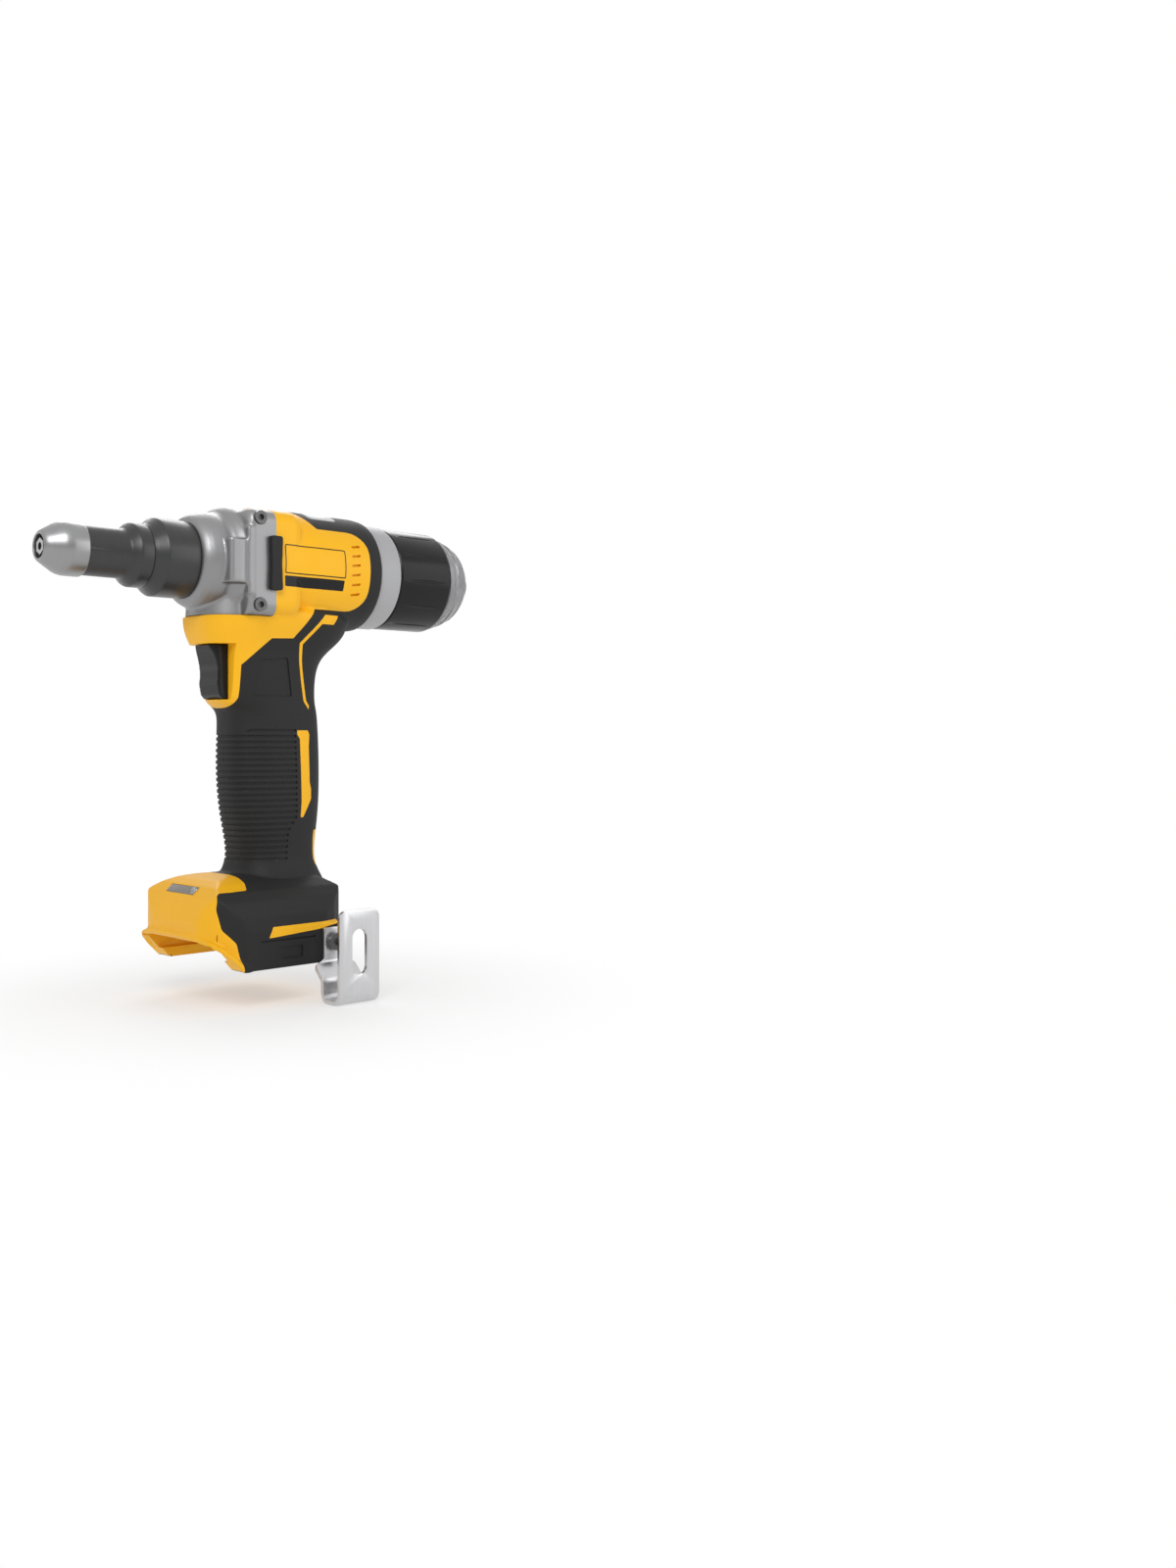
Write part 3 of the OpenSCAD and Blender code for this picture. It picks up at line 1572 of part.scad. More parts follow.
module belt_hook() {
    plate_y = hook_y0 - hook_t - hook_gap;
    slot_w = 8;
    slot_h = 21;
    slot_z = (hook_top_z - 9 + hook_bend_z + 4) / 2;
    tab_top = hook_hole_z + 6.6;
    color([0.78, 0.78, 0.8])
        union() {
            difference() {
                union() {
                    block([hook_x - hook_tab_w / 2, hook_y0 - hook_t, -foot_bottom - past],
                        [hook_x + hook_tab_w / 2, hook_y0, tab_top]);
                    translate([0, hook_y0 - hook_t / 2, 0])
                        across(hook_t)
                            polygon([
                                [hook_x - hook_tab_w / 2, -foot_bottom],
                                [hook_x + hook_tab_w / 2, -foot_bottom],
                                [hook_x + hook_w / 2, hook_bend_z + 1], [hook_x + hook_w / 2, hook_bend_z],
                                [hook_x - hook_w / 2, hook_bend_z], [hook_x - hook_w / 2, hook_bend_z + 1]
                            ]);
                }
                post(hook_x, hook_hole_z, -foot_w, 0, hook_hole_r + 0.2);
            }
            along_x(hook_x - hook_w / 2, hook_x + hook_w / 2)
                intersection() {
                    translate([hook_y0 - hook_t - hook_gap / 2, hook_bend_z])
                        difference() {
                            round_rect(hook_gap + 2 * hook_t, 2 * (hook_drop + hook_t), hook_corner + hook_t);
                            round_rect(hook_gap, 2 * hook_drop, hook_corner);
                        }
                    translate([-2 * foot_w, hook_bend_z - 2 * hook_gap])
                        square([2 * foot_w, 2 * hook_gap]);
                }
            translate([0, plate_y - hook_t / 2, 0])
                across(hook_t)
                    difference() {
                        union() {
                            translate([hook_x, (hook_top_z + hook_bend_z - 5) / 2 + 2.5])
                                round_rect(hook_w, hook_top_z - hook_bend_z - 5, 4);
                            translate([hook_x - hook_w / 2, hook_bend_z])
                                square([hook_w, 12]);
                        }
                        translate([hook_x, slot_z])
                            round_rect(slot_w, slot_h, slot_w / 2 - 0.01);
                    }
        }
}

module hook_screw() {
    head_r = 4;
    head_h = 2.6;
    socket_r = 1.8;
    color(black)
        difference() {
            union() {
                post(hook_x, hook_hole_z, hook_y0 - hook_t - head_h, hook_y0 - hook_t, head_r);
                post(hook_x, hook_hole_z, hook_y0 - hook_t - edge, hook_y0 + insert_len - past,
                    hook_hole_r - slip);
            }
            translate([hook_x, hook_y0 - hook_t - head_h + 1.4, hook_hole_z])
                rotate([90, 0, 0])
                    cylinder(h = 3, r = socket_r, $fn = 6);
        }
}

module hook_insert(s) {
    color(brass)
        difference() {
            post(hook_x, hook_hole_z, s > 0 ? foot_hw - insert_len : -foot_hw,
                s > 0 ? foot_hw : -foot_hw + insert_len, insert_r);
            post(hook_x, hook_hole_z, s > 0 ? foot_hw - insert_len - past : -foot_hw - past,
                s > 0 ? foot_hw + past : -foot_hw + insert_len + past, hook_hole_r);
        }
}

module hook_insert_left() {
    hook_insert(-1);
}

module hook_insert_right() {
    hook_insert(1);
}

nose_cap();
nose_piece();
nose_sleeve();
nose_nut();
jaw_case();
jaw_1();
jaw_2();
jaw_3();
jaw_pusher();
jaw_spring();
pull_adapter();
ball_screw();
ball_nut();
thrust_bearing();
gear_case();
gear_case_screws();
side_bumpers();
ring_gear();
planet_carrier();
planet_gear_1();
planet_gear_2();
planet_gear_3();
sun_gear();
rotor_shaft();
rotor_core();
stator_core();
stator_coils();
hall_board();
cooling_fan();
motor_front_plate();
front_bearing();
rear_bearing();
rear_plate();
mandrel_tube();
barrel_left();
barrel_right();
handle_left();
handle_right();
foot_left();
foot_right();
grip_left();
grip_right();
housing_screws();
collector_ring();
collector_cup();
collector_window();
cup_seal();
trigger();
trigger_spring();
switch_module();
control_module();
wire_loom();
led_lens();
led_board();
terminal_block();
terminal_blades();
belt_hook();
hook_screw();
hook_insert_left();
hook_insert_right();
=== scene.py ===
import math

import bmesh
import bpy
from mathutils import Matrix, Vector


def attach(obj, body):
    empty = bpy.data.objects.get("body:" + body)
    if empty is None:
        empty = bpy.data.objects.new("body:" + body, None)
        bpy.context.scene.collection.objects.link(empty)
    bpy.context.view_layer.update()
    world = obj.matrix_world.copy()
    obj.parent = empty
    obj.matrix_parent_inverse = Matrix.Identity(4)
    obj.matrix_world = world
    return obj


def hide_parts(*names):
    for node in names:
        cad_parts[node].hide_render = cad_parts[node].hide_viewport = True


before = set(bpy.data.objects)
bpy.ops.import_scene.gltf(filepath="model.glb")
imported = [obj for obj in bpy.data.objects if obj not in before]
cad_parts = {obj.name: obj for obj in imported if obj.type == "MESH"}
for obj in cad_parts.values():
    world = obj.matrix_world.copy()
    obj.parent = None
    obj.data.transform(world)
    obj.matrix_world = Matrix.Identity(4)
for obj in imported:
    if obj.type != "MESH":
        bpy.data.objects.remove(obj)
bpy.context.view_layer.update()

# Stage: the photograph's camera, level and at the tool's front left, in soft studio light.
# A pale floor lies under the belt hook, the tool's lowest piece, and fades to white far off.
# One small class wraps the shader sockets, so that patterns are written as sums.
MIDDLE = Vector((0.11, 0, -0.07))
FLOOR_Z = -0.2034
SENSOR = 36
PHOTO_H = 1600  # the photograph's height, focal length and horizon, in its own pixels
FOCAL = 1420
HORIZON = 753
scene = bpy.context.scene
scene.view_settings.view_transform = "Standard"

view = bpy.data.cameras.new("view")
view.sensor_fit = "VERTICAL"
view.sensor_height = SENSOR
view.lens = SENSOR * FOCAL / PHOTO_H
view.shift_y = (HORIZON - PHOTO_H / 2) / PHOTO_H
camera = bpy.data.objects.new("view", view)
camera.location = (-0.2555, -0.5822, -0.0816)
camera.rotation_euler = (math.pi / 2, 0, math.radians(-45.2))
scene.collection.objects.link(camera)
scene.camera = camera


class Shade:
    """A socket in a node tree: sums on it add Math nodes, and node() adds any other kind."""

    def __init__(self, tree, socket=None):
        self.tree = tree
        self.socket = socket

    def feed(self, target, value):
        if isinstance(value, Shade):
            self.tree.links.new(value.socket, target)
        else:
            target.default_value = value

    def node(self, kind, settings=None, inputs=None, out=0):
        added = self.tree.nodes.new(kind)
        for name, value in (settings or {}).items():
            setattr(added, name, value)
        for name, value in (inputs or {}).items():
            self.feed(added.inputs[name], value)
        return Shade(self.tree, added.outputs[out])

    def sum(self, operation, first, second):
        return self.node("ShaderNodeMath", {"operation": operation}, {0: first, 1: second})

    def __add__(self, other):
        return self.sum("ADD", self, other)

    def __sub__(self, other):
        return self.sum("SUBTRACT", self, other)

    def __rsub__(self, other):
        return self.sum("SUBTRACT", other, self)

    def __mul__(self, other):
        return self.sum("MULTIPLY", self, other)

    __radd__ = __add__
    __rmul__ = __mul__

    def ramp(self, low, high, at_low=0.0, at_high=1.0):
        """A smooth step between two values of this socket."""
        return self.node("ShaderNodeMapRange", {"interpolation_type": "SMOOTHSTEP"},
                         {"Value": self, "From Min": low, "From Max": high,
                          "To Min": at_low, "To Max": at_high})

    def blend(self, first, second):
        """Between two colours, plain ones or patterns, by this socket."""
        first, second = (c if isinstance(c, Shade) else (*c, 1) for c in (first, second))
        return self.node("ShaderNodeMix", {"data_type": "RGBA"}, {0: self, 6: first, 7: second}, out=2)


AMBIENT = 0.42
studio = bpy.data.worlds.new("studio")
scene.world = studio
studio.use_nodes = True
sky = Shade(studio.node_tree)
straight, through, mirrored = (sky.node("ShaderNodeLightPath", out=ray)
                               for ray in ("Is Camera Ray", "Is Transmission Ray", "Is Glossy Ray"))
seen = sky.sum("MINIMUM", straight + through, 1.0)
upward = sky.node("ShaderNodeSeparateXYZ", inputs={0: sky.node("ShaderNodeTexCoord", out="Generated")}, out="Z")
glow = upward.ramp(-0.3, 0.9, 0.3, 1.0)
backdrop = studio.node_tree.nodes["Background"]
sky.feed(backdrop.inputs["Color"], (1, 1, 1, 1))
sky.feed(backdrop.inputs["Strength"], AMBIENT + seen * (1 - AMBIENT) + mirrored * (glow - AMBIENT))


def lamp(name, place, width, height, watts):
    """A soft panel that faces the middle of the tool."""
    panel = bpy.data.lights.new(name, "AREA")
    panel.shape = "RECTANGLE"
    panel.size = width
    panel.size_y = height
    panel.energy = watts
    made = bpy.data.objects.new(name, panel)
    made.location = place
    aim = MIDDLE - Vector(place)
    made.rotation_euler = aim.to_track_quat("-Z", "Y").to_euler()
    scene.collection.objects.link(made)


lamp("key", (-0.55, -0.75, 0.70), 0.55, 0.55, 6.5)
lamp("side", (-0.85, 0.15, 0.15), 0.25, 0.8, 0.4)
lamp("fill", (0.75, -0.85, 0.25), 0.7, 0.7, 2.4)
lamp("back", (0.55, 0.75, 0.65), 0.7, 0.5, 3.5)
lamp("front", (-0.45, 0.80, 0.15), 0.4, 0.6, 0.5)

sheet = bmesh.new()
bmesh.ops.create_grid(sheet, x_segments=1, y_segments=1, size=6)
bmesh.ops.translate(sheet, verts=sheet.verts, vec=(0, 0, FLOOR_Z))
floor_mesh = bpy.data.meshes.new("floor")
sheet.to_mesh(floor_mesh)
sheet.free()
floor = bpy.data.objects.new("floor", floor_mesh)
scene.collection.objects.link(floor)
paper = bpy.data.materials.new("paper")
paper.use_nodes = True
ground = Shade(paper.node_tree)
away = ground.node("ShaderNodeVectorMath", {"operation": "DISTANCE"},
                   {0: ground.node("ShaderNodeTexCoord", out="Object"), 1: (MIDDLE.x, 0, FLOOR_Z)}, out="Value")
matt = ground.node("ShaderNodeBsdfDiffuse", inputs={"Color": (0.92, 0.92, 0.92, 1)})
white = ground.node("ShaderNodeEmission", inputs={"Color": (1, 1, 1, 1), "Strength": 1.0})
blended = ground.node("ShaderNodeMixShader", inputs={0: away.ramp(0.02, 0.20, 0.45, 1.0), 1: matt, 2: white})
ground.feed(paper.node_tree.nodes["Material Output"].inputs["Surface"], blended)
floor_mesh.materials.append(paper)

# Nose: a bright steel cap with the nosepiece in it, screwed to a blackened steel sleeve, and a
# blackened ring nut that clamps the sleeve to the gear case. All are turned, so their finish
# runs in fine rings about the pull axis.
MM = 0.001


def finish(name, colour, roughness, metallic=0.0, **fixed):
    """A material with one shader: constants go straight on its sockets."""
    made = bpy.data.materials.new(name + "_finish")
    made.use_nodes = True
    shader = made.node_tree.nodes["Principled BSDF"]
    shader.inputs["Base Color"].default_value = (*colour, 1)
    shader.inputs["Roughness"].default_value = roughness
    shader.inputs["Metallic"].default_value = metallic
    for socket, value in fixed.items():
        shader.inputs[socket.replace("_", " ")].default_value = value
    return made


def pattern(made, **sockets):
    """Lays patterns on a material's shader."""
    shader = made.node_tree.nodes["Principled BSDF"]
    for socket, value in sockets.items():
        Shade(made.node_tree).feed(shader.inputs[socket.replace("_", " ")], value)
    return made


def noise(made, scale, detail=2.0, stretch=(1, 1, 1)):
    """Noise on a material's object coordinates, with the scale in waves per metre."""
    shade = Shade(made.node_tree)
    spread = shade.node("ShaderNodeVectorMath", {"operation": "MULTIPLY"},
                        {0: shade.node("ShaderNodeTexCoord", out="Object"), 1: stretch})
    return shade.node("ShaderNodeTexNoise", inputs={"Vector": spread, "Scale": scale, "Detail": detail})


def relief(height, depth, strength):
    """A bump from a height pattern, with its depth in millimetres."""
    return height.node("ShaderNodeBump",
                       inputs={"Height": height, "Distance": depth * MM, "Strength": strength})


def edge_wear_and_highlight(made, low=0.53, high=0.62):
    """Rubbed edges with a painted highlight along them: nothing on flats, and full along corners that stand
    out, broken up by noise.
    """
    corner = Shade(made.node_tree).node("ShaderNodeNewGeometry", out="Pointiness")
    return (corner + noise(made, 500, 3) * 0.05 - 0.025).ramp(low, high)


def turned_finish(name, dark, light, rubbed_and_highlit, roughness, metallic):
    """Metal with fine rings about the pull axis, faint larger clouds, and edges lighter from wear and a painted
    highlight.
    """
    made = finish(name, light, roughness, metallic)
    rings = noise(made, 1800, 2, (1, 0.02, 0.02))
    clouds = noise(made, 60)
    # edges lighter as wear and as a painted highlight along them
    wear_and_highlight = edge_wear_and_highlight(made)
    base_tone = (rings * 0.6 + clouds * 0.4).blend(dark, light)
    return pattern(made, Base_Color=wear_and_highlight.blend(base_tone, rubbed_and_highlit),
                   Roughness=roughness - 0.06 + rings * 0.12 - wear_and_highlight * 0.06, Normal=relief(rings, 0.01, 0.1))


nose_steel = turned_finish("nose_steel", (0.27, 0.27, 0.275), (0.34, 0.34, 0.345), (0.44, 0.44, 0.45),
                           0.34, 1.0)
black_steel = turned_finish("black_steel", (0.030, 0.030, 0.031), (0.044, 0.044, 0.045),
                            (0.10, 0.10, 0.102), 0.33, 0.3)
SHARP = math.radians(38)


def piece(name, made, material, body, *nodes):
    """Sets up a finished solid: its name, finish, the body it rides on and the nodes it stands for."""
    made.name = name
    made.data.name = name
    made.data.materials.clear()
    made.data.materials.append(material)
    made.data.shade_smooth()
    made.data.set_sharp_from_angle(angle=SHARP)
    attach(made, body)
    if nodes:
        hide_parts(*nodes)


def solid(shape):
    """An object from a closed bmesh, with its faces turned outwards."""
    bmesh.ops.recalc_face_normals(shape, faces=shape.faces)
    mesh = bpy.data.meshes.new("solid")
    shape.to_mesh(mesh)
    shape.free()
    made = bpy.data.objects.new("solid", mesh)
    scene.collection.objects.link(made)
    return made


def turned(profile, edge=0.0, steps=128):
    """A solid turned about the pull axis from points of place and radius, with its edges broken."""
    shape = bmesh.new()
    dots = [shape.verts.new((x * MM, 0, r * MM)) for x, r in profile]
    lines = [shape.edges.new(pair) for pair in zip(dots, dots[1:])]
    if profile[0][1] > 0:
        lines.append(shape.edges.new((dots[-1], dots[0])))
    bmesh.ops.spin(shape, geom=dots + lines, axis=(1, 0, 0), cent=(0, 0, 0), angle=2 * math.pi,
                   steps=steps, use_merge=True)
    bmesh.ops.remove_doubles(shape, verts=shape.verts, dist=1e-7)
    bmesh.ops.recalc_face_normals(shape, faces=shape.faces)
    if edge:
        rims = [e for e in shape.edges if e.is_manifold and e.calc_face_angle() > math.radians(24)]
        bmesh.ops.bevel(shape, geom=rims, offset=edge * MM, offset_type="OFFSET", segments=3, profile=0.5,
                        affect="EDGES", clamp_overlap=True, material=-1)
    return solid(shape)


cap = turned([(-0.6, 5.2), (-0.6, 6.1), (0.1, 6.9), (1.2, 7.6), (4.4, 9.6), (6.4, 10.8), (7.8, 11.35),
              (9.6, 11.75), (11.0, 11.8), (16.9, 11.8), (17.4, 11.4), (17.4, 9.7), (10.2, 9.7), (10.2, 4.1),
              (3.0, 4.1), (3.0, 5.2)], 0.25)
piece("nose_cap", cap, nose_steel, "tool", "nose_cap")

sleeve = turned([(10.4, 8.1), (10.4, 9.6), (17.4, 9.6), (17.4, 10.9), (35.0, 10.9), (36.6, 11.5), (39.0, 13.9),
                 (40.0, 14.4), (45.6, 14.4), (45.6, 13.5), (50.5, 13.5), (50.5, 15.4), (54.1, 15.4),
                 (54.1, 13.5), (65.4, 13.5), (65.4, 8.1)], 0.35)
nut = turned([(45.9, 13.6), (45.9, 14.1), (46.8, 14.4), (47.6, 14.9), (50.2, 17.3), (51.0, 17.8), (66.3, 17.8),
              (66.3, 15.7), (50.3, 15.7), (50.3, 13.6)], 0.45)
piece("nose_nut", nut, black_steel, "tool", "nose_nut")


def settle(made):
    """Works an object's modifiers into its mesh."""
    graph = bpy.context.evaluated_depsgraph_get()
    mesh = bpy.data.meshes.new_from_object(made.evaluated_get(graph))
    made.modifiers.clear()
    spare = made.data
    made.data = mesh
    bpy.data.meshes.remove(spare)
    return made


def combine(operation, made, *others):
    """Joins, cuts or meets a solid with others, which are used up."""
    for other in others:
        step = made.modifiers.new("combine", "BOOLEAN")
        step.operation = operation
        step.object = other
        step.solver = "MANIFOLD"
    settle(made)
    for other in others:
        spare = other.data
        bpy.data.objects.remove(other)
        bpy.data.meshes.remove(spare)
    return made


def block(low, high):
    """A box between two corners in millimetres."""
    low, high = Vector(low) * MM, Vector(high) * MM
    shape = bmesh.new()
    bmesh.ops.create_cube(shape, size=1, matrix=Matrix.LocRotScale((low + high) / 2, None, high - low))
    return solid(shape)


keyway = block((40, -9.9, -1.6), (67, 9.9, 1.6))
piece("nose_sleeve", combine("DIFFERENCE", sleeve, keyway), black_steel, "tool", "nose_sleeve")


def dress(material, *nodes):
    """Gives CAD nodes that keep their shape a finish."""
    for node in nodes:
        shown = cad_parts[node]
        if not shown.material_slots:
            shown.data.materials.append(material)
        for place in shown.material_slots:
            place.material = material


dress(nose_steel, "nose_piece")

# Pull head and gears: the hardened jaw case and three jaws, their pusher and spring, the hollow
# ball screw that draws them back, and the gears, shafts and bearings that turn its nut. Ground
# and turned steel, hidden in the sleeve, the gear case and the barrel.
hard_steel = turned_finish("hard_steel", (0.34, 0.34, 0.35), (0.50, 0.50, 0.51), (0.6, 0.6, 0.61), 0.24, 1.0)
dress(hard_steel, "jaw_case", "jaw_1", "jaw_2", "jaw_3", "jaw_pusher", "jaw_spring", "pull_adapter",
      "ball_screw", "ball_nut", "thrust_bearing", "planet_carrier", "planet_gear_1", "planet_gear_2",
      "planet_gear_3", "ring_gear", "sun_gear", "rotor_shaft", "front_bearing", "rear_bearing", "mandrel_tube",
      "trigger_spring")

# Gear case: one aluminium casting with a domed front, a raised rib on each flank, a square rear
# with a sunk screw at each corner, and a flat base. Bead-blasted, so satin and fine-grained.
cast_alloy = finish("cast_alloy", (0.28, 0.28, 0.285), 0.42, 0.88)
blast = noise(cast_alloy, 1900, 3)
flow = noise(cast_alloy, 45)
# lighter corners: partly wear, partly a painted edge highlight
rubbed_and_highlit = edge_wear_and_highlight(cast_alloy, 0.54, 0.66)
satin = (flow * 0.7 + blast * 0.3).blend((0.25, 0.25, 0.255), (0.31, 0.31, 0.315))
pattern(cast_alloy, Base_Color=rubbed_and_highlit.blend(satin, (0.40, 0.40, 0.41)),
        Roughness=0.35 + blast * 0.12 - rubbed_and_highlit * 0.08, Normal=relief(blast, 0.03, 0.25))


def prism(outline, low, high, axis="Y", corner=0.0):
    """A solid from an outline in millimetres, drawn through along one axis. Y takes the side view."""
    order = {"X": (2, 0, 1), "Y": (0, 2, 1), "Z": (0, 1, 2)}[axis]

    def place(a, b, c):
        return Vector([(a, b, c)[i] for i in order]) * MM

    shape = bmesh.new()
    face = shape.faces.new([shape.verts.new(place(a, b, low)) for a, b in outline])
    if corner:
        bmesh.ops.bevel(shape, geom=face.verts[:], offset=corner * MM, offset_type="OFFSET", segments=6,
                        profile=0.5, affect="VERTICES", clamp_overlap=True, material=-1)
    drawn = bmesh.ops.extrude_face_region(shape, geom=shape.faces[:])
    bmesh.ops.translate(shape, vec=place(0, 0, high - low),
                        verts=[v for v in drawn["geom"] if isinstance(v, bmesh.types.BMVert)])
    return solid(shape)


def moulded(made, voxel, passes):
    """Softens a solid's edges and inside corners, as a mould's fillets do."""
    step = made.modifiers.new("skin", "REMESH")
    step.mode = "VOXEL"
    step.voxel_size = voxel * MM
    step = made.modifiers.new("soften", "SMOOTH")
    step.factor = 0.5
    step.iterations = passes
    return settle(made)


def rod(x0, x1, r):
    """A round bar along the pull axis."""
    return turned([(x0, 0), (x0, r), (x1, r), (x1, 0)])


def bar(place, r0, r1, length, sides=48):
    """A round bar or cone about its place, along that place's own Z, in metres."""
    shape = bmesh.new()
    bmesh.ops.create_cone(shape, cap_ends=True, segments=sides, radius1=r0, radius2=r1, depth=length,
                          matrix=place)
    return solid(shape)


def post(x, z, y0, y1, r, sides=48):
    """A round bar across the tool."""
    place = Matrix.Translation((x * MM, (y0 + y1) / 2 * MM, z * MM)) @ Matrix.Rotation(math.pi / 2, 4, "X")
    return bar(place, r * MM, r * MM, (y1 - y0) * MM, sides)


CASE_REAR = 99.3
CASE_SCREW_X = 90.9
CASE_SCREW_Z = (19.5, -20.5)
dome = turned([(66.5, 0), (66.5, 18.3), (67.0, 19.4), (68.6, 20.8), (71.0, 21.9), (74.0, 22.7), (77.2, 23.0),
               (78.8, 22.8), (79.8, 22.8), (81.0, 23.6), (82.4, 25.1), (84.0, 26.2), (86.0, 26.7), (88.3, 26.7),
               (91.3, 26.2), (102, 26.2), (102, 0)])
squares = [prism([(-27 + e, -26), (27 - e, -26), (27 - e, 23.9 - e), (-27 + e, 23.9 - e)], x, 102, "X", 6)
           for x, e in ((88.4, 0), (87.2, 0.3), (86.2, 0.9), (85.4, 1.8))]
base = bar(Matrix.Translation((90.8 * MM, 0, -18 * MM)), 20 * MM, 19 * MM, 16 * MM, 64)
combine("UNION", base, block((90.8, -20, -26), (102, 20, -13)))
ribs = [prism([(75.4, s * 21.0), (76.2, s * 25.4), (77.2, s * 26.2), (82.2, s * 26.3), (83.4, s * 25.9),
               (84.6, s * 26.7), (92.0, s * 27.0), (92.0, s * 10), (75.4, s * 10)], -11.0, 9.0, "Z")
        for s in (-1, 1)]
flanks = block((84.8, -26.9, -16), (92, 26.9, 15))
case = moulded(combine("UNION", dome, *squares, base, *ribs, flanks), 0.5, 10)
combine("DIFFERENCE", case, block((60, -60, -60), (110, 60, -25)))
combine("DIFFERENCE", case, block((CASE_REAR, -40, -40), (110, 40, 40)))
combine("UNION", case, rod(54.3, 68, 15.6))
combine("DIFFERENCE", case, rod(50, 66, 13.6), rod(65.4, 84, 14.1), rod(83.2, 89.0, 20.1),
        rod(88.6, 105, 24.27))
combine("DIFFERENCE", case, *[post(CASE_SCREW_X, z, -40, 40, 1.7) for z in CASE_SCREW_Z],
        *[post(CASE_SCREW_X, z, s * 33 - 7, s * 33 + 7, 3.4) for z in CASE_SCREW_Z for s in (-1, 1)])
piece("gear_case", case, cast_alloy, "tool", "gear_case")
dress(black_steel, "gear_case_screws")

# Bumpers: a black rubber pad on each flank over the joint of gear case and housing, narrower at
# its middle. Pressed into seats in both.
grip_rubber = finish("grip_rubber", (0.012, 0.012, 0.012), 0.6, Specular_IOR_Level=0.3)
pebble = noise(grip_rubber, 1500, 2)
dust = noise(grip_rubber, 30)
# lighter corners: partly wear, partly a painted edge highlight
polish_and_highlight = edge_wear_and_highlight(grip_rubber, 0.53, 0.66)
dusty = dust.blend((0.010, 0.010, 0.010), (0.015, 0.015, 0.015))
pattern(grip_rubber, Base_Color=polish_and_highlight.blend(dusty, (0.022, 0.022, 0.022)),
        Roughness=0.5 + pebble * 0.2 - polish_and_highlight * 0.1, Normal=relief(pebble, 0.06, 0.5))
pads = []
for side in (-1, 1):
    pad = prism([(95.3, -13.5), (101.3, -13.5), (101.3, -11), (100.9, -1), (101.3, 9), (101.3, 11.5),
                 (95.3, 11.5), (95.3, 9), (95.7, -1), (95.3, -11)], side * 28.3 - 1.3, side * 28.3 + 1.3,
                corner=1.0)
    pads.append(moulded(pad, 0.25, 3))
piece("side_bumpers", combine("UNION", *pads), grip_rubber, "tool", "side_bumpers")

# Motor and switch gear: a hollow brushless motor with its laminated core, windings, sensor board
# and fan, the plates that carry it, and the moulded switch, control and contact parts. Hidden in
# the barrel, the handle and the foot.
lamination = turned_finish("lamination", (0.16, 0.16, 0.17), (0.28, 0.28, 0.29), (0.34, 0.34, 0.35), 0.40, 0.9)
copper = finish("copper", (0.55, 0.24, 0.11), 0.35, 0.9)
strands = noise(copper, 3000, 1, (0.05, 1, 1))
pattern(copper, Base_Color=strands.blend((0.36, 0.13, 0.05), (0.62, 0.29, 0.14)),
        Normal=relief(strands, 0.1, 0.6))
board = finish("board", (0.02, 0.11, 0.05), 0.35)
tracks = noise(board, 400, 1)
pattern(board, Base_Color=tracks.blend((0.012, 0.085, 0.035), (0.03, 0.15, 0.07)))
black_plastic = finish("black_plastic", (0.010, 0.010, 0.0105), 0.24, Specular_IOR_Level=0.2)
skin = noise(black_plastic, 1100, 2)
# lighter corners: partly wear, partly a painted edge highlight
handled_and_highlight = edge_wear_and_highlight(black_plastic, 0.54, 0.68)
jet = skin.blend((0.009, 0.009, 0.0095), (0.012, 0.012, 0.0125))
pattern(black_plastic, Base_Color=handled_and_highlight.blend(jet, (0.022, 0.022, 0.023)),
        Roughness=0.18 + skin * 0.1, Normal=relief(skin, 0.015, 0.1))
dress(lamination, "rotor_core", "stator_core")
dress(copper, "stator_coils")
dress(board, "hall_board", "led_board")
dress(black_plastic, "cooling_fan", "rear_plate", "switch_module", "terminal_block", "wire_loom")
dress(cast_alloy, "motor_front_plate", "control_module")

# Clamshell: two yellow moulded halves, closed on the middle plane by screws from the right. They
# hold the motor in a barrel, frame the trigger, and end in a foot whose hood takes the battery.
# The whole outside is one form, drawn in by the thickness of the rubber where that lies over it.
yellow_plastic = finish("yellow_plastic", (0.90, 0.46, 0.01), 0.42, Specular_IOR_Level=0.25)
spark = noise(yellow_plastic, 1300, 2)
cast_tone = noise(yellow_plastic, 25)
# lighter corners: partly wear, partly a painted edge highlight
scuffed_and_highlight = edge_wear_and_highlight(yellow_plastic, 0.55, 0.7)
amber = cast_tone.blend((0.86, 0.43, 0.008), (0.92, 0.48, 0.012))
pattern(yellow_plastic, Base_Color=scuffed_and_highlight.blend(amber, (0.95, 0.56, 0.04)),
        Roughness=0.34 + spark * 0.16 - scuffed_and_highlight * 0.06, Normal=relief(spark, 0.04, 0.45))
RUBBER_T = 1.5
WALL = 2.2
FOOT_BOTTOM = -186
HANDLE_RINGS = [  # height, front, rear, half width
    (-17, 73, 150, 24), (-26.8, 72, 150.5, 23), (-33.3, 72.4, 148, 20), (-38.3, 74.6, 142, 18),
    (-44.3, 76, 136.5, 17), (-54.3, 77, 134.2, 17), (-64.0, 80.4, 134.2, 17), (-66.6, 84.4, 134.6, 17.1),
    (-70, 88.2, 135.2, 17.3), (-81.5, 87.3, 136, 17.5), (-99.5, 87.1, 136.4, 17.9), (-117, 88.7, 136, 17.5),
    (-133, 92.7, 133.3, 16.9), (-142, 92.5, 132.8, 18), (-149, 89, 136.5, 22.5), (-154, 87, 137, 25.5)]


